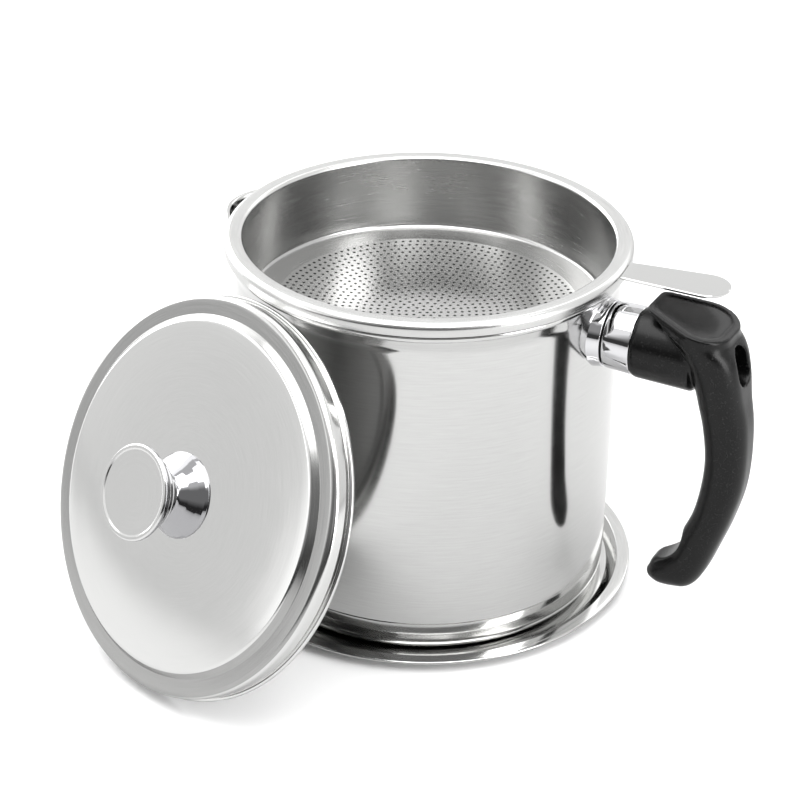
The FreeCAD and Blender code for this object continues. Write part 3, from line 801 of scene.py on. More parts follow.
class Strainer(Piece):
    """Strainer with a broad rolled rim, a perforated dished floor and a lifting tab."""

    body = Body.STRAINER
    sizes = StrainerSizes()

    def floor_height(self, radius: float) -> float:
        """Height of the dished floor's upper face.

        Args:
            radius: Distance from the strainer's axis.

        Returns:
            The height in millimetres.
        """
        s = self.sizes
        return s.field_height - s.dish * (1.0 - (radius / s.field) ** 2)

    def build(self):
        """Build the basket, the perforated floor and the tab."""
        self.build_wall()
        self.build_floor()
        self.build_tab()

    def build_wall(self):
        """Build the basket's wall and rim, darker inside as painted shade."""
        s = self.sizes
        under, hem = s.top - s.gauge, s.rim - s.gauge
        corners = [
            (s.field, s.field_height - s.gauge, 0.0),
            (s.foot + s.gauge, s.shoulder - s.gauge, 2.6),
            (s.mouth + s.gauge, under, 1.0),
            (hem, under, 1.9),
            (hem, s.skirt, 0.1),
            (s.rim, s.skirt, 0.25),
            (s.rim, s.top, 2.6),
            (s.mouth, s.top, 1.5),
            (s.foot, s.shoulder, 1.9),
            (s.field, s.field_height, 0.0),
        ]
        wall = lathe("strainer_wall", rounded(corners, True), UPRIGHT, closed=True)
        self.dress(wall, Slot.SATIN, "strainer_basket", finish=RIM)
        width, height = (s.mouth + s.brink) * MM, (s.top - s.brink_depth) * MM
        # Painted shade: faces of the inner wall below the rim take the darker shaded finish.
        self.add_finishes(
            wall, (SHADED_BASKET_WALL,), lambda face: int(face.center.xy.length < width and face.center.z < height)
        )

    def hole_places(self) -> list[Vector]:
        """Centres of the drain holes, in staggered rings.

        Returns:
            Points on the floor in millimetres.
        """
        s = self.sizes
        places = [Vector((0.0, 0.0, self.floor_height(0.0)))]
        for ring in range(1, int(s.hole_limit / s.ring_pitch) + 1):
            radius = ring * s.ring_pitch
            height = self.floor_height(radius)
            count = round(FULL_TURN * radius / s.hole_pitch)
            for step in range(count):
                angle = FULL_TURN * (step + 0.5 * (ring % 2)) / count
                places.append(Vector((radius * math.cos(angle), radius * math.sin(angle), height)))
        return places

    def build_floor(self):
        """Build the dished floor and punch its holes."""
        s = self.sizes
        steps = 14
        radii = [s.field * step / steps for step in range(steps + 1)]
        line = [Vector((radius, self.floor_height(radius))) for radius in radii]
        line += [Vector((radius, self.floor_height(radius) - s.gauge)) for radius in reversed(radii)]
        plate = lathe("strainer_floor", line, UPRIGHT, segments=96)
        centres = bpy.data.meshes.new("hole_centres")
        centres.from_pydata([place * MM for place in self.hole_places()], [], [])
        marks = new_object("hole_centres", centres)
        self.perforate(plate, marks)
        bpy.data.objects.remove(marks)
        # Painted shade: the floor takes the slightly darker shaded finish.
        self.dress(plate, Slot.SATIN, finish=SHADED_BASKET_FLOOR)

    def perforate(self, plate, marks):
        """Punch a hole through the plate at each mark with geometry nodes.

        Args:
            plate: The floor's object.
            marks: Object whose vertices are the holes' centres.
        """
        values = {
            "Centres": ("Object", marks),
            "Hole radius": ("Float", self.sizes.hole * MM),
            "Punch length": ("Float", self.sizes.punch_length * MM),
            "Finish": ("Material", self.palette.get(SHADED_BASKET_FLOOR)),
        }
        group = bpy.data.node_groups.new("perforate", "GeometryNodeTree")
        for side in ("INPUT", "OUTPUT"):
            group.interface.new_socket("Plate", in_out=side, socket_type="NodeSocketGeometry")
        sockets = {
            label: group.interface.new_socket(label, in_out="INPUT", socket_type="NodeSocket" + kind)
            for label, (kind, _) in values.items()
        }
        start = add_node(group, "NodeGroupInput").outputs
        centres = add_node(group, "GeometryNodeObjectInfo", {"Object": start["Centres"]})
        punch = add_node(
            group,
            "GeometryNodeMeshCylinder",
            {"Radius": start["Hole radius"], "Depth": start["Punch length"]},
            Vertices=12,
        )
        spots = add_node(group, "GeometryNodeMeshToPoints", {"Mesh": centres.outputs["Geometry"]})
        punches = add_node(
            group,
            "GeometryNodeInstanceOnPoints",
            {"Points": spots.outputs["Points"], "Instance": punch.outputs["Mesh"]},
        )
        solid = add_node(group, "GeometryNodeRealizeInstances", {"Geometry": punches.outputs["Instances"]})
        cut = add_node(
            group,
            "GeometryNodeMeshBoolean",
            {"Mesh 1": start["Plate"], "Mesh 2": solid.outputs["Geometry"]},
            {"operation": "DIFFERENCE", "solver": "MANIFOLD"},
        )
        coat = add_node(
            group,
            "GeometryNodeSetMaterial",
            {"Geometry": cut.outputs["Mesh"], "Material": start["Finish"]},
        )
        add_node(group, "NodeGroupOutput", {"Plate": coat.outputs["Geometry"]})
        modifier = add_modifier(plate, "NODES", node_group=group)
        for label, (_, value) in values.items():
            modifier[sockets[label].identifier] = value
        apply_modifiers(plate)
        smooth_shade(plate.data)

    def build_tab(self):
        """Build the lifting tab with its rounded end."""
        s = self.sizes
        quarter = math.pi / 2.0
        centre = s.tab_reach - s.tab_end_radius
        line = [
            Vector((s.tab_root, -s.tab_root_half)),
            Vector((s.tab_neck, -s.tab_neck_half)),
            *arc((centre, 0.0), s.tab_end_radius, -quarter, quarter, 32),
            Vector((s.tab_neck, s.tab_neck_half)),
            Vector((s.tab_root, s.tab_root_half)),
        ]
        rings = []
        levels = (0.0, s.tab_edge, s.tab_gauge - s.tab_edge, s.tab_gauge)
        for inset, rise in zip((s.tab_edge, 0.0, 0.0, s.tab_edge), levels):
            shrink = 1.0 - inset / s.tab_end_radius
            height = s.tab_bottom + rise
            rings.append(
                [Vector((centre + (point.x - centre) * shrink, point.y * shrink, height)) for point in line]
            )
        place = Matrix.Rotation(math.radians(s.tab_azimuth), 4, "Z")
        self.dress(skin("lift_tab", rings, place), Slot.SATIN, "strainer_tab")


@dataclass(frozen=True)
class GripStation:
    """One section of the grip: place, lean, depth, width, rounding and its end by the pot."""

    reach: float
    height: float
    lean: float
    depth: float
    width: float
    corner: float
    near_width: float = 0.0
    near_corner: float = 0.0


@dataclass(frozen=True)
class HandleSizes:
    """Handle fittings along the handle's level axis, in millimetres."""

    boss_start: float = 68.2
    boss_base: float = 12.9
    boss_neck: float = 12.0
    boss_end: float = 73.38
    bore: float = 3.0
    insulator: float = 11.0
    insulator_start: float = 73.42
    insulator_end: float = 73.98
    ferrule_start: float = 74.04
    ferrule_seat: float = 75.28
    ferrule_inside: float = 10.65
    ferrule_back: float = 12.05
    ferrule_front: float = 12.45
    ferrule_end: float = 84.58
    spigot: float = 10.5
    spigot_end: float = 75.38
    neck: float = 12.85
    neck_start: float = 84.63
    neck_end: float = 106.9
    bolt_start: float = 70.4
    bolt: float = 2.4
    bolt_head: float = 4.25
    bolt_seat: float = 112.85
    bolt_end: float = 115.95
    socket: float = 2.0
    socket_end: float = 114.15
    washer: float = 4.55
    washer_hole: float = 2.6
    washer_start: float = 112.05
    washer_end: float = 112.8


@dataclass(frozen=True)
class GripSizes:
    """Cuts in the grip in millimetres, and how its forms are melted into one."""

    well_half: float = 7.0
    well_half_width: float = 5.0
    well_corner: float = 4.9
    well_ends: tuple = (112.0, 140.0)
    scallops: tuple = (("first", 95.9, 61.0, 15.0), ("second", 94.6, 43.6, 13.0))
    scallop_half: float = 20.0
    between: int = 9
    thinnest: float = 0.05
    first_melt: tuple = (0.5, 4)
    second_melt: tuple = (0.45, 2)


class Handle(Piece):
    """Polished boss and ferrule, black grip with its thumb pad, and the bolt in its well."""

    body = Body.POT
    sizes = HandleSizes()
    grip_sizes = GripSizes()
    stations = (
        GripStation(95.9, 23.0, -68.0, 5.6, 8.4, 2.6),
        GripStation(98.4, 24.8, -66.0, 10.4, 13.0, 4.6),
        GripStation(103.2, 26.9, -62.0, 14.2, 15.2, 6.0),
        GripStation(106.7, 28.7, -53.0, 15.6, 15.8, 6.0),
        GripStation(109.8, 32.8, -42.0, 15.0, 16.0, 6.2),
        GripStation(113.6, 43.0, -22.0, 14.2, 16.2, 6.2),
        GripStation(117.2, 53.4, -9.0, 14.0, 16.4, 6.2),
        GripStation(119.8, 66.0, -3.0, 15.0, 16.8, 6.4),
        GripStation(120.4, 78.0, 1.0, 15.4, 17.4, 6.6),
        GripStation(119.2, 90.5, 6.0, 16.4, 18.8, 7.0),
        GripStation(117.2, 100.0, 11.0, 16.4, 21.6, 7.4),
        GripStation(115.6, 108.0, 12.0, 16.8, 24.6, 7.8),
        GripStation(113.2, 115.5, 8.0, 18.0, 26.8, 8.6),
        GripStation(110.4, 121.0, -2.0, 19.6, 28.2, 9.2),
    )
    tip_caps = ((0.25, 1.9), (0.6, 1.5), (0.85, 0.8))
    pad = (
        GripStation(106.2, 125.2, -11.4, 25.4, 29.0, 10.6),
        GripStation(103.4, 127.7, -11.4, 30.4, 29.4, 11.0, 19.0, 5.0),
        GripStation(103.25, 128.5, -11.4, 31.0, 29.6, 11.0, 19.2, 5.0),
        GripStation(103.2, 129.3, -11.4, 30.4, 29.0, 10.8, 18.6, 4.8),
    )
    dish = (
        GripStation(103.1, 128.75, -11.4, 24.2, 22.8, 7.8, 12.8, 2.4),
        GripStation(103.2, 129.3, -11.4, 26.2, 24.8, 8.6, 14.4, 3.0),
        GripStation(103.6, 131.3, -11.4, 28.5, 26.9, 9.6, 16.4, 4.0),
    )

    def build(self):
        """Build the fittings, the grip and the bolt."""
        self.build_fittings()
        self.build_grip()
        self.build_bolt()

    def build_fittings(self):
        """Build the boss, the insulating ring and the ferrule."""
        s = self.sizes
        boss = [
            (0.0, s.boss_start, 0.0),
            (s.boss_base, s.boss_start, 0.0),
            (s.boss_base - 0.25, 69.8, 0.0),
            (s.boss_neck + 0.35, 71.4, 2.0),
            (s.boss_neck, s.boss_end, 0.4),
            (0.0, s.boss_end, 0.0),
        ]
        turned = lathe("boss", rounded(boss, False), HANDLE_AXIS, segments=128)
        self.seat(turned)
        self.dress(turned, Slot.CHROME, "handle_boss")
        ring = [
            (s.bore, s.insulator_start, 0.0),
            (s.insulator, s.insulator_start, 0.1),
            (s.insulator, s.insulator_end, 0.1),
            (s.bore, s.insulator_end, 0.0),
        ]
        washer = lathe("insulating_ring", rounded(ring, True, 3), HANDLE_AXIS, closed=True, segments=96)
        self.dress(washer, Slot.FIBRE, "insulator_ring")
        sleeve = [
            (s.bore, s.ferrule_start, 0.0),
            (s.ferrule_back, s.ferrule_start, 0.7),
            (s.ferrule_back + 0.1, s.ferrule_start + 1.94, 0.5),
            (s.ferrule_front, s.ferrule_end, 0.5),
            (s.ferrule_inside, s.ferrule_end, 0.1),
            (s.ferrule_inside, s.ferrule_seat, 0.1),
            (s.bore, s.ferrule_seat, 0.0),
        ]
        ferrule = lathe("ferrule_sleeve", rounded(sleeve, True, 6), HANDLE_AXIS, closed=True, segments=128)
        self.dress(ferrule, Slot.CHROME, "ferrule")

    def seat(self, boss):
        """Bend the boss's foot to the middle of the pot's wall.

        Args:
            boss: The turned boss.
        """
        pot = Pot(self.palette)
        for vertex in boss.data.vertices:
            across, rise = vertex.co.y / MM, vertex.co.z / MM
            middle = pot.wall(rise) - pot.sizes.gauge / 2.0
            vertex.co.x = max(vertex.co.x, math.sqrt(middle * middle - across * across) * MM)

    def section(self, station: GripStation) -> list[Vector]:
        """Points of one rounded section in the grip's own place.

        Args:
            station: The section's sizes.

        Returns:
            Points in millimetres.
        """
        thinnest = self.grip_sizes.thinnest
        deep, wide = station.depth / 2.0, station.width / 2.0
        near = (station.near_width or station.width) / 2.0
        corner = min(station.corner, deep - thinnest, wide - thinnest)
        near_corner = min(station.near_corner or station.corner, deep - thinnest, near - thinnest)
        flat = hull(
            [
                (deep - corner, corner - wide, corner),
                (deep - corner, wide - corner, corner),
                (near_corner - deep, near - near_corner, near_corner),
                (near_corner - deep, near_corner - near, near_corner),
            ]
        )
        spot = Matrix.Translation((station.reach, 0.0, station.height))
        place = spot @ Matrix.Rotation(math.radians(-station.lean), 4, "Y")
        return [place @ point.to_3d() for point in flat]

    def shaft(self):
        """Sweep the grip through its stations with smooth steps between.

        Returns:
            The shaft's object.
        """
        first = self.stations[0]
        lean = math.radians(first.lean)
        rings = []
        for shrink, back in self.tip_caps:
            cap = GripStation(
                first.reach + math.sin(lean) * back,
                first.height - math.cos(lean) * back,
                first.lean,
                first.depth * shrink,
                first.width * shrink,
                first.corner * shrink,
            )
            rings.append(self.section(cap))
        line = [astuple(station) for station in self.stations]
        line = [line[0], *line, line[-1]]
        steps = self.grip_sizes.between
        for four in zip(line, line[1:], line[2:], line[3:]):
            for step in range(steps):
                numbers = [self.smooth(*values, step / steps) for values in zip(*four)]
                rings.append(self.section(GripStation(*numbers)))
        rings.append(self.section(self.stations[-1]))
        return skin("grip_moulding", rings, UPRIGHT)

    @staticmethod
    def smooth(before: float, start: float, end: float, after: float, part: float) -> float:
        """Blend between start and end with the slopes that their neighbours give.

        Args:
            before: Value before the start.
            start: Value at the start.
            end: Value at the end.
            after: Value after the end.
            part: Share of the way from start to end.

        Returns:
            The blended value.
        """
        slope_start = (end - before) / 2.0
        slope_end = (after - start) / 2.0
        square, cube = part * part, part * part * part
        return (
            (2 * cube - 3 * square + 1) * start
            + (cube - 2 * square + part) * slope_start
            + (3 * square - 2 * cube) * end
            + (cube - square) * slope_end
        )

    def build_grip(self):
        """Melt the shaft, the head and the neck into one and cut its hollows."""
        s = self.sizes
        head = [self.section(item) for item in (*self.stations[-2:], *self.pad)]
        neck = [
            (0.0, s.spigot_end, 0.0),
            (s.spigot, s.spigot_end, 0.3),
            (s.spigot, s.neck_start, 0.1),
            (s.neck, s.neck_start, 1.0),
            (s.neck, s.neck_end, 1.0),
            (0.0, s.neck_end, 0.0),
        ]
        parts = [
            self.shaft(),
            skin("grip_head", head, UPRIGHT),
            lathe("grip_neck", rounded(neck, False, 6), HANDLE_AXIS, segments=96),
        ]
        grip = parts[0]
        with bpy.context.temp_override(active_object=grip, selected_editable_objects=parts):
            bpy.ops.object.join()
        self.melt(grip, *self.grip_sizes.first_melt)
        apply_modifiers(grip)
        cutters = self.cutters()
        for cutter in cutters:
            add_modifier(grip, "BOOLEAN", operation="DIFFERENCE", solver="MANIFOLD", object=cutter)
        self.melt(grip, *self.grip_sizes.second_melt)
        apply_modifiers(grip)
        for cutter in cutters:
            bpy.data.objects.remove(cutter)
        grip.data.shade_smooth()
        self.dress(grip, Slot.PHENOLIC, "handle_grip")

    @staticmethod
    def melt(item, voxel: float, rounds: int):
        """Add modifiers that fuse an object's parts and soften where they meet.

        Args:
            item: The object.
            voxel: Size of the cells, in millimetres.
            rounds: Rounds of softening.
        """
        add_modifier(item, "REMESH", mode="VOXEL", voxel_size=voxel * MM)
        add_modifier(item, "SMOOTH", factor=0.5, iterations=rounds)

    def cutters(self) -> list:
        """Solids that shape the bolt's well, the pad's dish and the finger hollows.

        Returns:
            The cutters' objects.
        """
        g = self.grip_sizes
        turns = ((-1.0, -1.0), (1.0, -1.0), (1.0, 1.0), (-1.0, 1.0))
        well = [(g.well_half * x, g.well_half_width * y, g.well_corner) for x, y in turns]
        outline = rounded(well, True, 10)
        rings = [[Vector((point.x, point.y, rise)) for point in outline] for rise in g.well_ends]
        made = [
            skin("well", rings, HANDLE_AXIS),
            skin("dish", [self.section(item) for item in self.dish], UPRIGHT),
        ]
        for name, reach, height, radius in g.scallops:
            outline = arc((reach, height), radius, 0.0, FULL_TURN, 72)[:-1]
            sides = (-g.scallop_half, g.scallop_half)
            rings = [[Vector((point.x, side, point.y)) for point in outline] for side in sides]
            made.append(skin(name + "_scallop", rings, UPRIGHT))
        return made

    def build_bolt(self):
        """Build the socket-head bolt and its washer."""
        s = self.sizes
        bolt = [
            (0.0, s.bolt_start, 0.0),
            (s.bolt, s.bolt_start, 0.2),
            (s.bolt, s.bolt_seat, 0.0),
            (s.bolt_head, s.bolt_seat, 0.1),
            (s.bolt_head, s.bolt_end, 0.9),
            (s.socket, s.bolt_end, 0.1),
            (s.socket, s.socket_end, 0.0),
            (0.0, s.socket_end, 0.0),
        ]
        made = lathe("bolt", rounded(bolt, False, 5), HANDLE_AXIS, segments=64)
        self.dress(made, Slot.ZINC, "handle_bolt")
        ring = [
            (s.washer_hole, s.washer_start, 0.0),
            (s.washer, s.washer_start, 0.1),
            (s.washer, s.washer_end, 0.1),
            (s.washer_hole, s.washer_end, 0.0),
        ]
        washer = lathe("washer", rounded(ring, True, 3), HANDLE_AXIS, closed=True, segments=64)
        self.dress(washer, Slot.ZINC, "bolt_washer")


@dataclass(frozen=True)
class LidSizes:
    """Lid and knob in the lid's own frame, in millimetres."""

    azimuth: float = -110.7
    facing: float = -109.7
    lean: float = 24.6
    reach: float = 102.9
    rise: float = 65.0
    gauge: float = 0.7
    bead: float = 71.25
    bead_half: float = 0.88
    bead_inside: float = 69.65
    curl: float = 69.95
    skirt: float = 70.35
    skirt_inside: float = 69.35
    flange: float = 8.0
    foot: float = 63.5
    shoulder: float = 60.6
    shoulder_rise: float = 10.2
    dome_edge: float = 56.6
    dome_power: int = 4
    top: float = 11.38
    crown: float = 15.5
    screw_hole: float = 2.2
    knob_gap: float = 0.05


class Lid(Piece):
    """Domed lid with a rolled bead and a polished knob."""

    body = Body.LID
    sizes = LidSizes()
    bell = (
        (2.05, 0.0, 0.0),
        (15.15, 0.0, 0.2),
        (15.15, 0.9, 0.35),
        (14.4, 1.9, 0.4),
        (12.6, 3.3, 2.0),
        (9.8, 5.2, 4.0),
        (7.4, 7.4, 2.5),
        (6.8, 8.8, 0.5),
        (8.4, 9.3, 0.3),
        (8.4, 10.2, 0.4),
        (7.6, 10.95, 0.1),
        (2.05, 10.95, 0.0),
    )
    cap = (
        (2.05, 11.05, 0.0),
        (9.8, 11.05, 0.2),
        (10.0, 12.25, 0.5),
        (12.4, 14.45, 1.0),
        (13.4, 15.85, 0.6),
        (13.4, 16.85, 0.3),
        (15.2, 18.65, 0.8),
        (15.6, 20.25, 0.3),
        (16.65, 20.65, 0.3),
        (16.65, 21.65, 0.5),
        (16.1, 22.2, 0.25),
        (15.2, 22.2, 0.2),
        (14.6, 21.95, 0.15),
        (0.0, 21.95, 0.0),
        (0.0, 18.1, 0.0),
        (2.05, 18.1, 0.0),
    )

    def place(self) -> Matrix:
        """Where the leaning lid's own frame stands.

        Returns:
            The placing in millimetres.
        """
        s = self.sizes
        turn = math.radians(s.azimuth)
        spot = Matrix.Translation((s.reach * math.cos(turn), s.reach * math.sin(turn), s.rise))
        lean = Matrix.Rotation(math.radians(90.0 - s.lean), 4, "Y")
        return spot @ Matrix.Rotation(math.radians(s.facing), 4, "Z") @ lean

    def build(self):
        """Build the lid's shell and knob."""
        self.build_shell()
        self.build_knob()

    def dome(self, radius: float) -> float:
        """Rise of the dome's outer face.

        Args:
            radius: Distance from the lid's axis.

        Returns:
            The rise in millimetres.
        """
        s = self.sizes
        return s.top - (s.top - s.shoulder_rise) * (radius / s.shoulder) ** s.dome_power

    def build_shell(self):
        """Build the pressed shell, with painted shade: a darker flange and a darker, rougher inside."""
        s = self.sizes
        half = s.bead_half
        steps = 9
        radii = [s.crown + (s.dome_edge - s.crown) * step / steps for step in range(steps, -1, -1)]
        corners = [
            (s.bead_inside, -half, 0.5),
            (s.bead, -half, 0.8),
            (s.bead, half, 0.8),
            (s.curl, half, 0.15),
            (s.curl, half * 2.0, 0.3),
            (s.skirt, half * 3.0, 0.6),
            (s.skirt, s.flange, 2.4),
            (s.foot, s.flange, 0.5),
            (s.shoulder + 0.6, self.dome(s.shoulder) + 0.05, 2.2),
            *((radius, self.dome(radius), 0.0) for radius in radii),
            (s.screw_hole, s.top - 0.02, 0.0),
            (s.screw_hole, s.top - s.gauge, 0.0),
            (s.dome_edge, self.dome(s.dome_edge) - s.gauge, 0.0),
            (s.shoulder - 0.4, self.dome(s.shoulder) - s.gauge, 1.8),
            (s.foot - s.gauge, s.flange - s.gauge, 0.5),
            (s.skirt_inside, s.flange - s.gauge, 1.8),
            (s.skirt_inside, half, 0.1),
            (s.bead_inside, half, 0.3),
        ]
        shell = lathe("lid_dish", rounded(corners, True), self.place(), closed=True)
        self.dress(shell, Slot.LID, "lid_shell")
        from_lid = self.place().inverted()

        def pick(face) -> int:
            """Sort a face of the shell.

            Args:
                face: The face.

            Returns:
                1 inside the lid, 2 on the flange and 0 elsewhere.
            """
            # Faces of the underside and of the flange ring take the darker painted-shade finishes.
            if (from_lid.to_3x3() @ face.normal).z < -0.2:
                return 1
            across = (from_lid @ (face.center / MM)).xy.length
            return 2 if s.shoulder + 0.8 < across < s.skirt - 0.6 else 0

        self.add_finishes(shell, (SHADED_LID_INSIDE, SHADED_LID_FLANGE), pick)

    def turn_knob(self, name: str, corners: tuple, steps: int):
        """Turn one part of the knob, which the brushed lid doesn't mirror.

        Args:
            name: Name of the object.
            corners: Across, rise over the crown and rounding of each corner.
            steps: Chords in each rounded corner.

        Returns:
            The object.
        """
        low = self.sizes.top + self.sizes.knob_gap
        line = rounded([(across, low + rise, radius) for across, rise, radius in corners], True, steps)
        made = lathe(name, line, self.place(), closed=True, segments=160)
        made.visible_glossy = False
        return made

    def build_knob(self):
        """Build the knob's bell and its ringed cap with a brushed face."""
        # Painted shade: the bell takes the darker copy of the chrome colour.
        self.dress(self.turn_knob("knob_bell", self.bell, 8), Slot.CHROME, "knob_base", finish=SHADED_KNOB_BELL)
        cap = self.dress(self.turn_knob("knob_cap_disc", self.cap, 6), Slot.LID, "knob_cap")
        from_lid = self.place().to_3x3().inverted()
        # Painted shade: the cap's sides and underside take the bell's darker chrome colour.
        self.add_finishes(cap, (SHADED_KNOB_BELL,), lambda face: int((from_lid @ face.normal).z < 0.6))


@dataclass(frozen=True)
class CameraSizes:
    """Camera of the photo, in degrees, metres and millimetres of lens."""

    yaw: float = -0.712
    pitch: float = 29.244
    roll: float = 1.066
    turn: float = 27.0
    back: float = 0.7535
    height: float = 0.4888
    lens: float = 103.5
    sensor: float = 36.0


@dataclass(frozen=True)
class Softbox:
    """Area light: place, aim, size in metres and power in watts."""

    name: str
    azimuth: float
    elevation: float
    distance: float
    width: float
    height: float
    power: float


@dataclass(frozen=True)
class Surroundings:
    """Brightness of the studio as the steel mirrors it.

    The walls and the sky go from behind the object at 0 to the camera's side at 1. The panel goes
    along its own direction. Each has pairs of position and brightness, as a share of the peak.
    """

    walls: tuple = (
        (0.0, 0.72),
        (0.4, 0.6),
        (0.5, 0.53),
        (0.565, 0.53),
        (0.59, 1.0),
        (0.68, 1.0),
        (0.71, 0.03),
        (1.0, 0.03),
    )
    peak: float = 1.6
    sky: tuple = ((0.0, 1.0), (0.78, 1.0), (0.84, 0.3), (1.0, 0.3))
    ceiling: float = 1.1
    panel: tuple = ((0.0, 0.0), (0.001, 0.0), (0.012, 0.9), (0.22, 0.9), (0.25, 0.0), (1.0, 0.0))
    panel_side: tuple = (0.579, -0.364, 0.729)
    fill: float = 0.9
    background: float = 1.0
    wall_top: float = 0.16
    wall_fade: float = 0.36
    floor: str = "fafafa"
    mirrored_floor: str = "cccccc"
    floor_half: float = 3.0
    floor_drop: float = 0.0002
    aim_height: float = 0.06


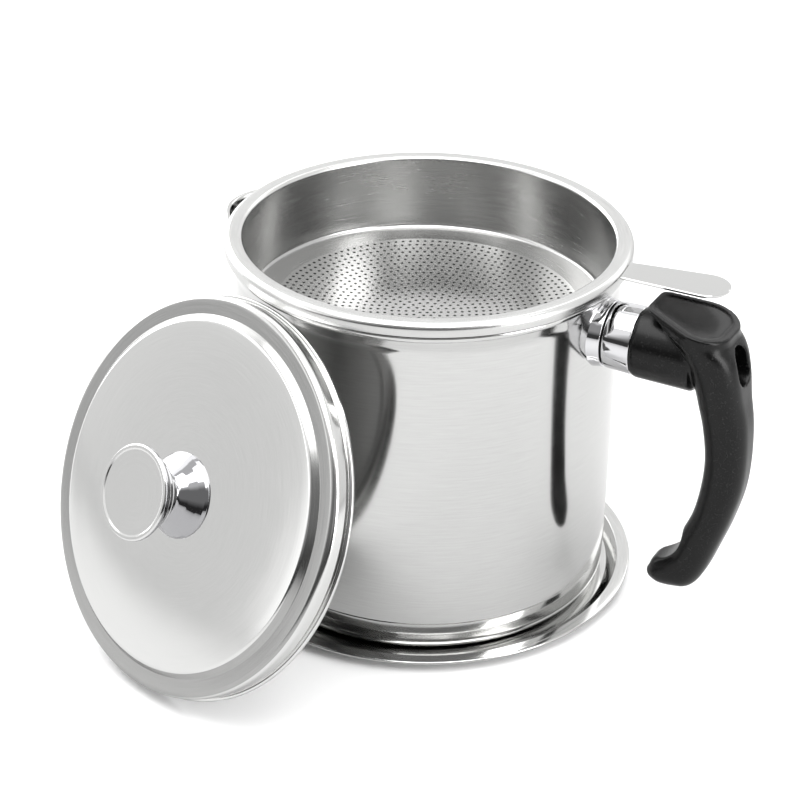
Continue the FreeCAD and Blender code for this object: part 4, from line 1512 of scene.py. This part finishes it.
class Studio:
    """Camera, lights, floor and surroundings."""

    camera_sizes = CameraSizes()
    surroundings = Surroundings()
    lights = (
        Softbox("left_box", -200.0, 18.0, 1.1, 0.9, 1.1, 10.0),
        Softbox("right_box", -10.0, 20.0, 1.1, 0.4, 1.1, 8.0),
        Softbox("top_box", -80.0, 80.0, 1.2, 1.2, 1.2, 14.0),
    )

    def build(self):
        """Build the whole studio."""
        self.build_camera()
        self.build_world()
        self.build_floor()
        for light in self.lights:
            self.build_light(light)

    def build_camera(self):
        """Stand the camera where the photo was taken."""
        c = self.camera_sizes
        yaw, pitch, roll = (math.radians(value) for value in (c.yaw, c.pitch, c.roll))
        level = math.cos(pitch)
        forward = Vector((math.sin(yaw) * level, math.cos(yaw) * level, -math.sin(pitch)))
        right = Vector((math.cos(yaw), -math.sin(yaw), 0.0))
        up = right.cross(forward)
        rolled_right = right * math.cos(roll) + up * math.sin(roll)
        rolled_up = up * math.cos(roll) - right * math.sin(roll)
        stand = Matrix((rolled_right, rolled_up, -forward)).transposed().to_4x4()
        stand.translation = Vector((0.0, -c.back, c.height))
        lens = bpy.data.cameras.new("photo_camera")
        lens.lens = c.lens
        lens.sensor_width = c.sensor
        camera = new_object("photo_camera", lens)
        camera.matrix_world = Matrix.Rotation(math.radians(c.turn), 4, "Z") @ stand
        bpy.context.scene.camera = camera

    def ramp(self, tree, share, stops: tuple, peak: float):
        """Turn a share from 0 to 1 into a brightness.

        Args:
            tree: The world's node tree.
            share: Socket that gives the share.
            stops: Pairs of position and brightness, as a share of the peak.
            peak: Greatest brightness.

        Returns:
            The socket of the brightness.
        """
        node = add_node(tree, "ShaderNodeValToRGB", {"Fac": share})
        marks = node.color_ramp.elements
        while len(marks) < len(stops):
            marks.new(0.5)
        for mark, (position, value) in zip(marks, stops):
            mark.position = position
            mark.color = (value, value, value, 1.0)
        scaled = add_node(tree, "ShaderNodeMath", {0: node.outputs["Color"]}, {"operation": "MULTIPLY"})
        scaled.inputs[1].default_value = peak
        return scaled.outputs[0]

    def along(self, tree, ray, direction: tuple):
        """Measure how far a ray goes along a direction.

        Args:
            tree: The world's node tree.
            ray: Socket of the ray's direction.
            direction: The direction, of length 1.

        Returns:
            The socket of the measure, from -1 to 1.
        """
        node = add_node(tree, "ShaderNodeVectorMath", {0: ray}, {"operation": "DOT_PRODUCT"})
        node.inputs[1].default_value = direction
        return node.outputs["Value"]

    def build_world(self):
        """Build walls, sky and panel that only the steel mirrors, over a white background."""
        world = bpy.data.worlds.new("surroundings")
        bpy.context.scene.world = world
        world.use_nodes = True
        tree = world.node_tree
        shader = tree.nodes["Background"]
        looks = self.surroundings
        ray = add_node(tree, "ShaderNodeTexCoord").outputs["Generated"]
        turn = math.radians(self.camera_sizes.turn)
        facing = self.along(tree, ray, (math.sin(turn), -math.cos(turn), 0.0))
        around = add_node(tree, "ShaderNodeMapRange", {"Value": facing}, From_Min=-1.0).outputs["Result"]
        side = self.ramp(tree, around, looks.walls, looks.peak)
        above = self.ramp(tree, around, looks.sky, looks.ceiling)
        beside = self.along(tree, ray, looks.panel_side)
        panel = self.ramp(tree, beside, looks.panel, looks.peak)
        lamp = add_node(tree, "ShaderNodeMath", {0: above, 1: panel}, {"operation": "ADD"})
        level = add_node(tree, "ShaderNodeSeparateXYZ", {"Vector": ray}).outputs["Z"]
        low = add_node(
            tree, "ShaderNodeMapRange", {"Value": level}, From_Min=looks.wall_top, From_Max=looks.wall_fade
        )
        mirrored = add_node(
            tree, "ShaderNodeMix", {"Factor": low.outputs["Result"], "A": side, "B": lamp.outputs[0]}
        )
        rays = add_node(tree, "ShaderNodeLightPath").outputs
        lit = add_node(
            tree,
            "ShaderNodeMix",
            {"Factor": rays["Is Diffuse Ray"], "A": mirrored.outputs["Result"]},
            B=looks.fill,
        )
        strength = add_node(
            tree,
            "ShaderNodeMix",
            {"Factor": rays["Is Camera Ray"], "A": lit.outputs["Result"]},
            B=looks.background,
        )
        shader.inputs["Color"].default_value = linear("ffffff")
        tree.links.new(strength.outputs["Result"], shader.inputs["Strength"])

    def build_floor(self):
        """Lay the pale floor, which the steel mirrors greyer than it looks."""
        looks = self.surroundings
        half = looks.floor_half
        mesh = bpy.data.meshes.new("studio_floor")
        corners = [(-half, -half, 0.0), (half, -half, 0.0), (half, half, 0.0), (-half, half, 0.0)]
        mesh.from_pydata(corners, [], [(0, 1, 2, 3)])
        floor = new_object("studio_floor", mesh)
        floor.location.z = -looks.floor_drop
        material = bpy.data.materials.new("pale_floor")
        material.use_nodes = True
        tree = material.node_tree
        shader = tree.nodes["Principled BSDF"]
        mirrored = add_node(tree, "ShaderNodeLightPath").outputs["Is Glossy Ray"]
        colour = mix_colours(tree, mirrored, looks.floor, looks.mirrored_floor)
        tree.links.new(colour, shader.inputs["Base Color"])
        shader.inputs["Roughness"].default_value = 0.9
        mesh.materials.append(material)

    def build_light(self, box: Softbox):
        """Hang one softbox and aim it at the object.

        Args:
            box: Its place, size and power.
        """
        azimuth, elevation = math.radians(box.azimuth), math.radians(box.elevation)
        level = math.cos(elevation)
        direction = Vector((math.cos(azimuth) * level, math.sin(azimuth) * level, math.sin(elevation)))
        data = bpy.data.lights.new(box.name, "AREA")
        data.shape = "RECTANGLE"
        data.size = box.width
        data.size_y = box.height
        data.energy = box.power
        light = new_object(box.name, data)
        light.location = direction * box.distance + Vector((0.0, 0.0, self.surroundings.aim_height))
        light.rotation_euler = direction.to_track_quat("Z", "Y").to_euler()


def dress_remaining(palette: Palette):
    """Give every frame node its own finish, shown or not.

    Args:
        palette: The finishes.
    """
    slots = {item["node"]: item["material_slot"] for item in frame["record"]["subparts"]}
    for name, node in frame["nodes"].items():
        node.data.materials.clear()
        node.data.materials.append(palette.get(FINISHES[Slot(slots[name])]))
    frame["nodes"]["knob_screw"].visible_glossy = False


def main():
    """Build the object and its studio."""
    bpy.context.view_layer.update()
    bpy.context.scene.view_settings.view_transform = "Standard"
    palette = Palette()
    dress_remaining(palette)
    for assembly in (Tray, Pot, Strainer, Handle, Lid):
        assembly(palette).build()
    Studio().build()


if __name__ == "__main__":
    main()
